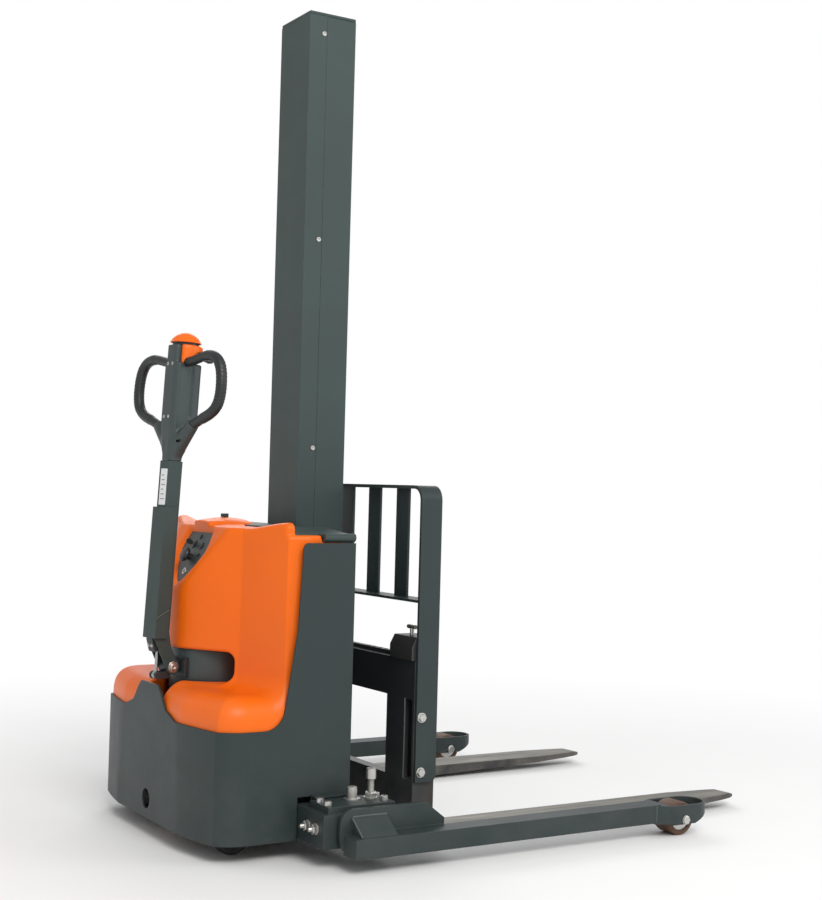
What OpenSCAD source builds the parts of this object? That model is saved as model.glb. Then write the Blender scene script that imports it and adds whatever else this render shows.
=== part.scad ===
// Walkie stacker with a closed single-column mast, adjustable straddle legs,
// hook-on forks and a steering tiller.
// X runs from the tiller to the fork tips, Y to the truck's left, Z up from the floor.
// The origin is the middle of the truck's footprint. Part positions are written from the
// mast's rear face and moved to that origin by module at_mast().

/* [Mast] */
// Overall height of the mast
mast_h = 1970; // [1960:5:2000]
// Width of the mast across the truck
mast_w = 154; // [150:1:160]
// Depth of the mast along the truck
mast_d = 127; // [127:1:131]
// Depth of the removable rear cover
rear_cover_d = 48; // [47:1:48]

/* [Chassis] */
// Width of the steel skirt
skirt_w = 700; // [690:2:704]
// Distance from the mast's rear face to the back of the skirt
skirt_l = 341; // [341:1:350]
// Ground clearance of the skirt
skirt_z = 40; // [30:1:44]
// Height of the side panels
panel_h = 691; // [685:1:694]
// Height of the low part of the skirt
skirt_low_h = 283; // [275:1:290]
// Plate thickness of the skirt
skirt_t = 5; // [3:0.5:5]
// Height of the middle of the tower cover
tower_h = 722; // [716:1:726]
// Height of the tower cover's shoulders
shoulder_h = 707; // [704:1:710]
// Height of the shelf around the tiller
shelf_h = 355; // [353:1:356]

/* [Legs] */
// Distance between the outer faces of the two leg rails
leg_span = 1087; // [1080:1:1100]
// Width of a leg rail
rail_w = 55; // [50:1:56]
// Top of a leg rail above the floor
rail_top = 78; // [74:1:80]
// Bottom of a leg rail above the floor
rail_bottom = 35; // [32:1:38]
// Distance from the mast's rear face to the load wheel axle
load_axle_x = 822; // [800:1:900]
// Diameter of a load wheel
load_wheel_d = 80; // [78:1:80]
// Width of a load wheel
load_wheel_w = 58; // [50:1:60]

/* [Forks] */
// Distance from the mast's rear face to the fork tips
fork_tip_x = 1187; // [1100:1:1300]
// Width of one fork
fork_w = 100; // [90:1:100]
// Distance from the centre plane to the middle of a fork
fork_y = 330; // [310:1:331]
// Thickness of a fork at its heel
fork_t = 28; // [25:1:30]

/* [Carriage] */
// Width of the load backrest
backrest_w = 780; // [776:1:784]
// Height of the load backrest above the floor
backrest_top = 825; // [780:5:900]
// Width of the backrest's flat bar
bar_w = 55; // [50:1:55]

/* [Steering] */
// Angle at which the tiller stands turned at rest
tiller_turn = 10; // [0:1:15]
// Forward lean of the upright tiller
tiller_lean = 3.2; // [2.8:0.2:3.4]
// Distance from the mast's rear face back to the steering axis
steer_back = 169; // [168:1:170]
// Height of the tiller's tilt pivot
pivot_z = 390; // [389:1:392]
// Distance from the steering axis to the tilt pivot
pivot_r = 125; // [124:1:127]
// Diameter of the drive wheel
drive_wheel_d = 200; // [190:1:200]
// Radius of the motor cover that turns with the tiller
drum_r = 104; // [102:1:104]
// Half of the width across the handle loops, to the middle of the tube
grip_y = 175; // [165:1:180]

/* [Hidden] */
$fn = 48;

PAINT = [0.24, 0.29, 0.28];
ORANGE = [0.93, 0.42, 0.08];
BLACK = [0.09, 0.09, 0.1];
ZINC = [0.78, 0.78, 0.75];
DARK = [0.17, 0.18, 0.2];

// Running gap between a shaft and its bore, and between sliding flats
run = 0.05;
slide = 0.3;
// Length that cutting tools reach past a face
over = 1;

// Mast and lift chain
wall = 6;
mast_z0 = 124;
cap_t = 8;
mast_z1 = mast_h - cap_t;
mast_in = mast_w / 2 - wall;
web_x = rear_cover_d;
guide_x1 = web_x + 2 * wall + 2;
guide_y = 40;
slot_y = 24;
roller_x = (guide_x1 + mast_d - wall) / 2;
roller_r = (mast_d - wall - guide_x1) / 2 - slide;
rollers_z = [190, 410];
cyl_x = 26;
cyl_r = 18;
cyl_top = 960;
rod_r = 12;
sheave_x = 36;
sheave_z = 1040;
chain_y = 26;
chain_r = 24;

// Chassis
// The tiller's lower rear corner is the rearmost point
rear_reach = steer_back + (pivot_r + 60 * cos(tiller_lean) - 65 * sin(tiller_lean)) * cos(tiller_turn)
    + 26 * sin(tiller_turn);
frame_shift = (fork_tip_x - rear_reach) / 2;
side_y = skirt_w / 2;
front_x = 14;
corner_r = 95;
bow_r = 1400;
base_z = 112;
base_t = 6;
wall_x = -8;
skirt_in = skirt_t + 0.5;
tower_y = 336;
tower_t = 3.5;
cover_z0 = skirt_low_h - 5;
nose_r = drum_r + 8;
pocket_y = 172;
pocket_z = [shelf_h, 438];
cap_x = -64;
steer_x = -steer_back;
neck_r = 75;
caster_at = [-201, 247];
caster_trail = 26;
caster_r = 40;

// Leg slide bar and the housing that clamps it
bar_x = [-48, 16];
bar_z = [56, 106];
clamp_x = [-115, 66];
clamp_y = [345.5, 470];
rail_y1 = leg_span / 2;
rail_y0 = rail_y1 - rail_w;
plate_y0 = rail_y0 - 12;
rail_x0 = -76;
band_w = 94;
band_t = 6;
band_y = (rail_y0 + rail_y1) / 2;

// Carriage bars, hook ridges and forks
bar_x0 = 158;
bar_x1 = 186;
upper_z = [336, 425];
lower_z = [56, 153];
ridge_x = 172;
ridge_h = 10;
carriage_y = backrest_w / 2 - 8;
fork_z0 = 9;
shank_t = 30;
hook_top = 478;
web_y = [8, 16];

// Tiller, in its own frame: px and s run from the pivot, along and up the leaning arm
arm_hw = 19;
arm_x = [-54.5, -17.5];
arm_s = [60, 475];
head_x = -30;
head_s = [475, 745];
grip_x = -32;
grip_r = 12;
spring_x = -34;
spring_s = -20;
gas_eye = [spring_x * cos(tiller_lean) + spring_s * sin(tiller_lean),
    spring_s * cos(tiller_lean) - spring_x * sin(tiller_lean)];

// ---------- helpers ----------
module at_mast() { translate([-frame_shift, 0, 0]) children(); }
module at_steer() { at_mast() translate([steer_x, 0, 0]) rotate([0, 0, tiller_turn]) children(); }
module lean() { translate([-pivot_r, 0, pivot_z]) rotate([0, tiller_lean, 0]) children(); }
module at_tiller() { at_steer() lean() children(); }
module both() { children(); mirror([0, 1, 0]) children(); }
module side(s) { if (s > 0) children(); else mirror([0, 1, 0]) children(); }
module block(x, y, z) {
    translate([x[0], y[0], z[0]]) cube([x[1] - x[0], y[1] - y[0], z[1] - z[0]]);
}
module rod_x(x, y, z, r) { translate([x[0], y, z]) rotate([0, 90, 0]) cylinder(r = r, h = x[1] - x[0]); }
module rod_y(x, y, z, r) { translate([x, y[0], z]) rotate([-90, 0, 0]) cylinder(r = r, h = y[1] - y[0]); }
module rod_z(x, y, z, r) { translate([x, y, z[0]]) cylinder(r = r, h = z[1] - z[0]); }
// A plate with its outline in X and Z, between two values of Y
module plate_xz(y, points) {
    translate([0, y[1], 0]) rotate([90, 0, 0]) linear_extrude(y[1] - y[0]) polygon(points);
}
// A plate with its outline in Y and Z, between two values of X
module plate_yz(x, points) {
    translate([x[0], 0, 0]) rotate([90, 0, 90]) linear_extrude(x[1] - x[0]) polygon(points);
}
module hex_z(x, y, z, r) { translate([x, y, z[0]]) cylinder(r = r, h = z[1] - z[0], $fn = 6); }
function arc(c, r, a0, a1, n = 8) =
    [for (i = [0:n]) let (a = a0 + (a1 - a0) * i / n) [c[0] + r * cos(a), c[1] + r * sin(a)]];

function round_rect(x0, y0, x1, y1, r) = concat(arc([x1 - r, y1 - r], r, 0, 90),
    arc([x0 + r, y1 - r], r, 90, 180), arc([x0 + r, y0 + r], r, 180, 270),
    arc([x1 - r, y0 + r], r, 270, 360));

// Plan of the skirt, moved inwards by the given amount
module skirt_plan(inset = 0) {
    corner = [-skirt_l + 11 + corner_r, side_y - corner_r];
    intersection() {
        translate([bow_r - skirt_l, 0]) circle(bow_r - inset, $fn = 180);
        union() {
            for (s = [-1, 1]) translate([corner[0], s * corner[1]]) circle(corner_r - inset);
            translate([corner[0], -side_y + inset])
                square([front_x - corner[0], skirt_w - 2 * inset]);
            translate([corner[0] - corner_r + inset, -corner[1]])
                square([corner_r, 2 * corner[1]]);
        }
    }
}

// Plan of the tower: a round nose about the steering axis and two creases on each side
module tower_plan(inset = 0, front = wall_x - 1) {
    half = [[-187 + inset, 180 - inset / 2], [-141 + inset, 320 - inset],
        [-95, tower_y - 2 - inset], [cap_x, tower_y - inset], [front, tower_y - inset]];
    polygon(concat(arc([steer_x, 0], nose_r - inset, 212.5, 147.5, 16), half,
        [for (i = [len(half) - 1:-1:0]) [half[i][0], -half[i][1]]]));
}

// Plan of the pocket in the nose, in which the motor cover and the tiller's foot turn
module pocket_plan(grow = 0) {
    y1 = pocket_y + grow;
    translate([steer_x, 0]) circle(nose_r + 2 + grow, $fn = 96);
    polygon([[-300, -y1], [-186 + grow, -y1], [-150 + grow, -108 - grow], [-150 + grow, 108 + grow],
        [-186 + grow, y1], [-300, y1]]);
}

// ---------- chassis ----------
module chassis_frame() {
    color(PAINT) at_mast() difference() {
        union() {
            translate([0, 0, base_z]) linear_extrude(base_t) intersection() {
                skirt_plan(skirt_t);
                translate([-500, -500]) square([500 - 2, 1000]);
            }
            // Front wall, mast foot and the cheeks that hold the mast
            block([wall_x, -2], [-side_y + skirt_t, side_y - skirt_t], [base_z, 690]);
            block([-2, mast_d], [-95, 95], [base_z + base_t, mast_z0]);
            both() block([-2, 60], [mast_w / 2, mast_w / 2 + wall], [mast_z0, 420]);
            // Cross tube that takes the slide bars of both legs
            block([bar_x[0] - 8, bar_x[1] + 8], [-clamp_y[0], clamp_y[0]], [bar_z[0] - 8, base_z]);
            block([bar_x[0] - 8, bar_x[1] + 8], [-clamp_y[0], clamp_y[0]], [base_z, base_z + 2]);
            // Drive bridge and its posts
            block([-290, wall_x], [-114, 114], [232, 242]);
            both() block([-290, -150], [112, 130], [232, 242]);
            both() block([-235, -205], [114, 130], [base_z + base_t, 232]);
            both() block([-60, -44], [80, 114], [base_z + base_t, 232]);
            // Caster sockets
            both() rod_z(caster_at[0], caster_at[1], [96, base_z], 24);
        }
        translate([0, 0, base_z - 20]) linear_extrude(40) translate([steer_x, 0]) circle(110);
        rod_z(steer_x, 0, [232 - over, 242 + over], 108);
        block(bar_x, [-side_y, side_y], bar_z);
        both() rod_z(caster_at[0], caster_at[1], [96 - over, base_z + base_t + over], 8 + run);
    }
}

module skirt_shell() {
    // Side view of the cut that opens the skirt for the tower and the shelf
    edge = concat([[-500, skirt_low_h], [-200, skirt_low_h]],
        arc([-200, skirt_low_h + 48], 48, 270, 350),
        [[-126, 500], [-119, 640]],
        arc([-105, panel_h - 13], 13, 180, 90),
        [[-105, panel_h + 60], [-500, panel_h + 60]]);
    color(PAINT) at_mast() difference() {
        translate([0, 0, skirt_z]) linear_extrude(panel_h - skirt_z) difference() {
            skirt_plan();
            skirt_plan(skirt_t);
            translate([front_x - over, -side_y]) square([2, skirt_w]);
            translate([-50, -side_y + skirt_t]) square([200, skirt_w - 2 * skirt_t]);
        }
        difference() {
            plate_xz([-side_y - over, side_y + over], edge);
            plate_yz([-500, -250], [[-152, 200], [-152, skirt_low_h], [-98, 301], [-66, 338],
                [-50, shelf_h - 4], [50, shelf_h - 4], [66, 338], [98, 301], [152, skirt_low_h],
                [152, 200]]);
        }
        // Room for the leg clamps, and the tow hole in the back
        both() block([clamp_x[0] - 2, front_x + over], [side_y - 10, side_y + over],
            [skirt_z - over, 134]);
        rod_x([-skirt_l - over, -300], 0, 84, 23);
    }
}

// Rounded rim of the shelf: share of its height, and how far in it has come by then
rim = [[0, 0], [0.3, 0.5], [0.6, 5], [0.8, 13], [0.94, 27], [1, 46]];
module shelf_solid(inset, low) {
    hull() for (r = rim)
        translate([0, 0, low + r[0] * (shelf_h - inset - low) - 0.5]) linear_extrude(0.5)
            intersection() {
                skirt_plan(skirt_in + inset + r[1]);
                translate([-500, -500]) square([365, 1000]);
            }
}

module tower_solid(inset, low, front) {
    shelf_solid(inset, low);
    difference() {
        union() {
            translate([0, 0, low]) linear_extrude(shoulder_h - inset - low) tower_plan(inset, front);
            translate([0, 0, low]) linear_extrude(tower_h - inset - low) intersection() {
                tower_plan(inset, front);
                square([1000, 2 * (316 - inset)], center = true);
            }
        }
        // Slanted face of the nose
        translate([0.894 * inset, 0, -0.447 * inset])
            plate_xz([-400, 400], [[-354, 424], [-187.5, 757], [-700, 757], [-700, 424]]);
    }
}

// Frame of the slanted face: x up the slope, y to the left, z outwards
module at_slant() { at_mast() translate([-246, 0, 640]) rotate([0, -63.435, 0]) children(); }
module window(grow = 0) {
    half = [[-46 - grow, 25 + grow], [-11, 54 + grow], [22, 73 + grow], [40, 73 + grow],
        [72 + grow, 64 + grow]];
    polygon(concat([[-62 - 1.6 * grow, 0]], half,
        [for (i = [len(half) - 1:-1:0]) [half[i][0], -half[i][1]]]));
}

module tower_cover() {
    color(ORANGE) difference() {
        union() {
            at_mast() difference() {
                tower_solid(0, cover_z0, wall_x - 1);
                tower_solid(tower_t, cover_z0 - over, wall_x);
            }
            // Finger ridge on top
            at_mast() plate_xz([-60, 60], [[-198, tower_h - 3], [-206, tower_h + 5],
                [-168, tower_h + 15], [-140, tower_h + 15], [-84, tower_h - 1]]);
            // Lining of the pocket
            at_mast() translate([0, 0, shelf_h - tower_t])
                linear_extrude(pocket_z[1] + 2 * tower_t - shelf_h) intersection() {
                    pocket_plan(tower_t);
                    tower_plan(0.5);
                }
            // Collar behind the window
            at_slant() translate([0, 0, -9]) linear_extrude(8) window(tower_t);
        }
        at_mast() intersection() {
            translate([0, 0, pocket_z[0]]) linear_extrude(pocket_z[1] - pocket_z[0]) pocket_plan();
            plate_yz([-400, 0], round_rect(-pocket_y, pocket_z[0], pocket_y, pocket_z[1], 28));
        }
        at_mast() rod_z(steer_x, 0, [cover_z0 - 2, shelf_h + over], nose_r);
        // Way out to the back for the tiller's foot
        at_mast() block([-345, steer_x], [-55, 55], [cover_z0 - 2, shelf_h + over]);
        at_slant() translate([0, 0, -10]) linear_extrude(20) window();
        at_mast() block([cap_x - 0.5, 0], [-400, 400], [panel_h + 1.5, 800]);
    }
}

module top_cap() {
    y1 = side_y - 7;
    color(DARK) at_mast() difference() {
        union() {
            plate_yz([cap_x, front_x], [[-y1, panel_h + 2], [-y1, 708], [-200, 721], [200, 721],
                [y1, 708], [y1, panel_h + 2]]);
            both() rod_x([cap_x, front_x], side_y - 10, panel_h + 12, 9);
        }
        block([-1, front_x + over], [-mast_w / 2 - 2, mast_w / 2 + 2], [600, 800]);
    }
}

module control_panel() {
    color(DARK) at_slant() translate([0, 0, -12.1]) linear_extrude(3) difference() {
        window(7);
        translate([6, 4]) circle(8.5);
        translate([40, 17]) circle(8.5);
        translate([-30, 0]) circle(6.5);
    }
}

module charge_socket() {
    color(ZINC) at_slant() difference() {
        rod_z(-30, 0, [-24, -9.1], 6.4);
        rod_z(-30, 0, [-18, -9], 4);
    }
}

module key_switch() {
    color(BLACK) at_slant() {
        rod_z(40, 17, [-22, -8.8], 8.4);
        rod_z(40, 17, [-8.8, -6], 10);
        block([32, 48], [15.7, 18.3], [-6, 5]);
    }
}

module emergency_stop() {
    color(BLACK) at_slant() {
        rod_z(6, 4, [-30, 2], 8.4);
        rod_z(6, 4, [2, 12], 17);
    }
}

module cover_knob() {
    color(DARK) at_mast() {
        rod_z(-152, 0, [tower_h + 15.3, tower_h + 19], 9);
        block([-162, -142], [-3, 3], [tower_h + 19, tower_h + 24]);
    }
}

module batteries() {
    color(BLACK) at_mast() both() {
        block([-128, -16], [118, 312], [base_z + base_t, 410]);
        for (y = [160, 270]) rod_z(-74, y, [410, 424], 9);
    }
}

module hydraulic_unit() {
    color(DARK) at_mast() {
        block([-120, wall_x], [10, 190], [450, 620]);
        block([-95, wall_x], [-60, 10], [450, 470]);
        rod_z(-65, -60, [450, 640], 45);
        rod_z(-60, 100, [620, 634], 18);
    }
}

module power_electronics() {
    color(ZINC) at_mast() {
        block([-60, wall_x], [-318, -130], [450, 640]);
        for (i = [0:8]) block([-72, -60], [-314 + 21 * i, -308 + 21 * i], [460, 630]);
    }
}

module steer_bearing() {
    color(ZINC) at_mast() difference() {
        rod_z(steer_x, 0, [228, 250], 108);
        rod_z(steer_x, 0, [228 - over, 250 + over], neck_r + run);
    }
}

// ---------- leg clamps on the chassis ----------
module leg_clamps() {
    color(PAINT) at_mast() both() difference() {
        union() {
            block(clamp_x, clamp_y, [45, 118]);
            block([clamp_x[0] + 15, clamp_x[1]], [376, 462], [118, 132]);
            block([-85, 8], [side_y + 0.3, side_y + 22], [132, 137]);
            block([-85, 8], [side_y + 0.3, side_y + 6], [118, 132]);
        }
        block(bar_x, [300, 500], bar_z);
        for (x = [-90, 50], y = [404, 440]) rod_z(x, y, [110, 133], 5);
        rod_z(-12, 405, [106, 133], 8);
        rod_z(36, 405, [106, 133], 8);
    }
}

module clamp_bolts() {
    color(ZINC) at_mast() both() {
        for (x = [-90, 50], y = [404, 440]) {
            rod_z(x, y, [112, 132], 5);
            hex_z(x, y, [132, 142], 9);
        }
        rod_z(-12, 405, [107, 132], 8);
        rod_z(-12, 405, [132, 160], 12);
        rod_z(36, 405, [107, 174], 8);
        rod_z(36, 405, [174, 197], 11);
        for (y = [398, 436]) {
            rod_x([clamp_x[0] - 14, clamp_x[0]], y, 84, 9);
            rod_x([clamp_x[0] - 22, clamp_x[0] - 14], y, 84, 5);
        }
    }
}

// ---------- mast ----------
module mast_profile() {
    color(PAINT) at_mast() difference() {
        block([web_x, mast_d], [-mast_w / 2, mast_w / 2], [mast_z0, mast_z1]);
        difference() {
            block([web_x + wall, mast_d - wall], [-mast_in, mast_in], [mast_z0 - over, mast_z1 + over]);
            both() block([web_x, guide_x1], [guide_y, mast_w], [0, mast_h]);
        }
        block([mast_d - wall - over, mast_d + over], [-slot_y, slot_y], [mast_z0 - over, mast_z1 + over]);
        // Slots through which the sheaves reach the front of the web
        both() block([web_x - over, web_x + wall + over], [chain_y - 8, chain_y + 8], [960, 1900]);
    }
}

module mast_rear_cover() {
    color(PAINT) at_mast() difference() {
        block([0, web_x - 0.5], [-mast_w / 2, mast_w / 2], [mast_z0, mast_z1]);
        block([3, web_x], [-mast_w / 2 + 3, mast_w / 2 - 3], [mast_z0 - over, mast_z1 + over]);
        for (z = screw_z) rod_y(screw_x, [-100, 100], z, 3.2);
    }
}

screw_x = 39;
screw_z = [909, 1415, 1918];
module mast_screws() {
    color(ZINC) at_mast() both() for (z = screw_z) {
        rod_y(screw_x, [mast_w / 2 - 8, mast_w / 2], z, 3);
        rod_y(screw_x, [mast_w / 2, mast_w / 2 + 3], z, 6);
    }
}

module mast_cap() {
    color(PAINT) at_mast() block([0, mast_d], [-mast_w / 2, mast_w / 2], [mast_z1, mast_h]);
}

module lift_cylinder() {
    color(DARK) at_mast() difference() {
        rod_z(cyl_x, 0, [mast_z0, cyl_top], cyl_r);
        rod_z(cyl_x, 0, [mast_z0 + 10, cyl_top - 15], cyl_r - 3);
        rod_z(cyl_x, 0, [cyl_top - 20, cyl_top + over], rod_r + run);
    }
}

module cylinder_rod() {
    color(ZINC) at_mast() {
        rod_z(cyl_x, 0, [160, 190], cyl_r - 3 - run);
        rod_z(cyl_x, 0, [190, sheave_z - 20], rod_r);
        block([14, 46], [-18, 18], [sheave_z - 20, sheave_z + 14]);
        rod_y(sheave_x, [-33, -18], sheave_z, 6);
        rod_y(sheave_x, [18, 33], sheave_z, 6);
    }
}

module chain_sheave() {
    color(DARK) at_mast() both() difference() {
        union() {
            rod_y(sheave_x, [chain_y - 5, chain_y + 5], sheave_z, chain_r - 3.3);
            for (y = [chain_y - 5, chain_y + 3.5])
                rod_y(sheave_x, [y, y + 1.5], sheave_z, chain_r + 2);
        }
        rod_y(sheave_x, [chain_y - 6, chain_y + 6], sheave_z, 6 + run);
    }
}

module chain_rear() {
    color(BLACK) at_mast() both()
        block([sheave_x - chain_r - 3, sheave_x - chain_r + 3], [chain_y - 3, chain_y + 3],
            [mast_z0, sheave_z]);
}

module chain_front() {
    color(BLACK) at_mast() both()
        block([sheave_x + chain_r - 3, sheave_x + chain_r + 3], [chain_y - 3, chain_y + 3],
            [180, sheave_z]);
}

// ---------- steered drive unit ----------
module drive_housing() {
    color(DARK) at_steer() {
        rod_z(0, 0, [208, 224], 88);
        rod_z(0, 0, [224, 264], neck_r);
        rod_z(0, 0, [264, 284], 95);
        block([-58, 58], [42, 74], [100, 208]);
        rod_y(0, [42, 74], 100, 58);
    }
}

module drive_wheel() {
    color(ORANGE) at_steer() {
        difference() {
            rod_y(0, [-35, 35], drive_wheel_d / 2, drive_wheel_d / 2);
            rod_y(0, [-36, -20], drive_wheel_d / 2, 60);
        }
        rod_y(0, [35, 41.7], drive_wheel_d / 2, 20);
    }
}

module drive_motor() {
    color(BLACK) at_steer() {
        rod_z(0, 0, [284, 376], 62);
        rod_z(0, 0, [376, 408], 48);
    }
}

module motor_cover() {
    color(DARK) at_steer() difference() {
        rod_z(0, 0, [284, 436], drum_r);
        rod_z(0, 0, [287, 433], drum_r - 3);
        rod_z(0, 0, [283, 288], 66);
    }
}

module tiller_yoke() {
    color(BLACK) at_steer() difference() {
        union() {
            block([-pivot_r, -100], [-13.6, 13.6], [pivot_z - 13, pivot_z + 13]);
            block([-106.5, -95], [-40, 40], [pivot_z - 22, pivot_z + 22]);
            rod_y(-pivot_r, [-14, 14], pivot_z, 17);
            translate([-pivot_r, 0, pivot_z]) {
                both() block([gas_eye[0], -4], [9, 13.2], [gas_eye[1] - 8, gas_eye[1] + 8]);
                both() rod_y(gas_eye[0], [9, 13], gas_eye[1], 9);
                rod_y(gas_eye[0], [-9.5, 9.5], gas_eye[1], 4);
            }
        }
        rod_z(0, 0, [350, 440], drum_r);
        rod_y(-pivot_r, [-15, 15], pivot_z, 8 + run);
    }
}

module tiller_pin() {
    color(ZINC) at_tiller() {
        rod_y(0, [-arm_hw, arm_hw], 0, 8);
        both() rod_y(0, [arm_hw, arm_hw + 6], 0, 12);
    }
}

// ---------- tiller ----------
module tiller_arm() {
    foot = concat([[arm_x[0], 100], [arm_x[0], 62]], arc([0, 0], 17, 205, 370, 10),
        [[-9, 45], [arm_x[1], 80], [arm_x[1], 100]]);
    color(PAINT) at_tiller() difference() {
        union() {
            block(arm_x, [-arm_hw, arm_hw], arm_s);
            both() plate_xz([14.5, arm_hw], foot);
        }
        block([arm_x[0] + 3.5, arm_x[1] - 3.5], [-15.5, 15.5], [arm_s[0] - over, arm_s[1] - 20]);
        rod_y(0, [-arm_hw - over, arm_hw + over], 0, 8);
    }
}

module tiller_cover() {
    color(PAINT) at_tiller() difference() {
        block([-60, -26], [-26, 26], [65, 367]);
        block([-57.5, -25], [-23.5, 23.5], [64, 364.5]);
        block(arm_x, [-arm_hw, arm_hw], [60, 400]);
    }
}

module gas_spring_rod() {
    color(ZINC) at_tiller() translate([spring_x, 0, 0]) difference() {
        union() {
            rod_y(0, [-5, 5], spring_s, 8);
            rod_z(0, 0, [spring_s + 5, spring_s + 180], 4);
        }
        rod_y(0, [-6, 6], spring_s, 4 + run);
    }
}

module gas_spring_tube() {
    color(BLACK) at_tiller() translate([spring_x, 0, 0]) difference() {
        union() {
            rod_z(0, 0, [spring_s + 74, spring_s + 242], 8);
            rod_z(0, 0, [spring_s + 242, spring_s + 252], 5);
        }
        rod_z(0, 0, [spring_s + 73, spring_s + 232], 4 + run);
    }
}

module head_outer() {
    // Neck, waist and upper body
    hull() {
        block([-55.5, -10], [-21, 21], [472, 492]);
        block([-57, 8], [-34, 34], [540, 570]);
    }
    hull() {
        block([-56, 12], [-30, 30], [550, 745]);
        block([-60, 4], [-22, 22], [550, 745]);
    }
    // Flares that carry the lower ends of the loops
    both() hull() {
        block([-46, -16], [10, 24], [490, 540]);
        translate([grip_x, 66, 556]) rotate([60, 0, 0])
            cylinder(r = 15, h = 12, center = true, $fn = 24);
    }
}
module head_body() {
    color(PAINT) at_tiller() difference() {
        head_outer();
        block([arm_x[0], arm_x[1]], [-arm_hw, arm_hw], [400, arm_s[1]]);
        rod_y(throttle_x, [-80, 80], throttle_s, 5 + run);
        rod_y(rocker_x, [-9.5, 9.5], rocker_s, 9.4);
        rod_x([1, 19], 0, horn_s, 9);
    }
}

module head_guard() {
    color(ORANGE) at_tiller() difference() {
        hull() {
            block([-38, 12], [-36, 36], [702, 747]);
            block([8, 18], [-26, 26], [710, 747]);
        }
        block([-70, 12.2], [-30.2, 30.2], [690, 751]);
        rod_y(throttle_x, [-80, 80], throttle_s, 5 + run);
    }
}

// Centre line of one handle loop, from its upper to its lower end
loop = concat([[38.5, 708.3], [90, 717]], arc([grip_y - 42, 676], 42, 80, 0, 5),
    arc([grip_y - 52, 604], 42, -5, -60, 4), [[108, 575], [70, 558]]);
function ring(p, q, r, n) = let (d = (q - p) / norm(q - p))
    [for (i = [0:n - 1]) let (a = 360 * i / n) [r * sin(a), -r * cos(a) * d[1], r * cos(a) * d[0]]];
module loop_tube(points, r, n = 12) {
    m = len(points);
    rings = [for (i = [0:m - 1]) let (c = [grip_x, points[i][0], points[i][1]])
        for (v = ring(points[max(i - 1, 0)], points[min(i + 1, m - 1)], r, n)) c + v];
    faces = concat([[for (i = [0:n - 1]) i]], [[for (i = [0:n - 1]) (m - 1) * n + n - 1 - i]],
        [for (j = [0:m - 2], i = [0:n - 1]) [j * n + i, (j + 1) * n + i, (j + 1) * n + (i + 1) % n]],
        [for (j = [0:m - 2], i = [0:n - 1]) [j * n + i, (j + 1) * n + (i + 1) % n, j * n + (i + 1) % n]]);
    polyhedron(rings, faces);
}
module handle_grips() {
    color(BLACK) at_tiller() difference() {
        both() loop_tube(loop, grip_r);
        head_outer();
    }
}

throttle_x = -6;
throttle_s = 724;
rocker_x = 8;
rocker_s = 655;
horn_s = 620;
module throttle() {
    color(BLACK) at_tiller() {
        rod_y(throttle_x, [-46, 46], throttle_s, 5);
        both() hull() {
            rod_y(throttle_x, [38, 54], throttle_s, 9);
            rod_y(throttle_x + 24, [40, 52], throttle_s - 10, 6);
        }
    }
}

module belly_button() {
    color(ORANGE) at_tiller() intersection() {
        translate([-22, 0, 739]) sphere(r = 39, $fn = 64);
        block([-80, 60], [-60, 60], [752.5, 790]);
    }
}

module lift_rocker() {
    color(BLACK) at_tiller() {
        rod_y(rocker_x, [-9, 9], rocker_s, 9);
        block([rocker_x, rocker_x + 12], [-9, 9], [rocker_s - 2, rocker_s + 2]);
    }
}

module horn_button() {
    color(BLACK) at_tiller() rod_x([4.5, 14.5], 0, horn_s, 8.5);
}

// ---------- casters ----------
module caster_fork(s) {
    color(ZINC) at_mast() side(s) translate([caster_at[0], caster_at[1], 0]) {
        rod_z(0, 0, [84, 115], 8);
        rod_z(0, 0, [86, 95.5], 22);
        for (y = [-23, 19]) hull() {
            block([-22, 14], [y, y + 4], [84, 88]);
            rod_y(-caster_trail, [y, y + 4], caster_r, 10);
        }
        block([-22, 14], [-23, 23], [84, 88]);
        rod_y(-caster_trail, [-19, 19], caster_r, 5);
    }
}
module caster_fork_left() { caster_fork(1); }
module caster_fork_right() { caster_fork(-1); }

module caster_wheel(s) {
    color(BLACK) at_mast() side(s) translate([caster_at[0] - caster_trail, caster_at[1], caster_r])
        rotate([90, 0, 0]) rotate_extrude()
            polygon(concat([[5 + run, -16], [34, -16]], arc([caster_r - 6, -10], 6, -90, 0, 3),
                arc([caster_r - 6, 10], 6, 0, 90, 3), [[5 + run, 16]]));
}
module caster_wheel_left() { caster_wheel(1); }
module caster_wheel_right() { caster_wheel(-1); }

// ---------- straddle legs ----------
module band_plan(w) {
    translate([34, 0]) square([78, 2 * w], center = true);
    translate([73, 0]) intersection() {
        circle(w);
        translate([0, -w]) square(2 * w);
    }
}

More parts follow.
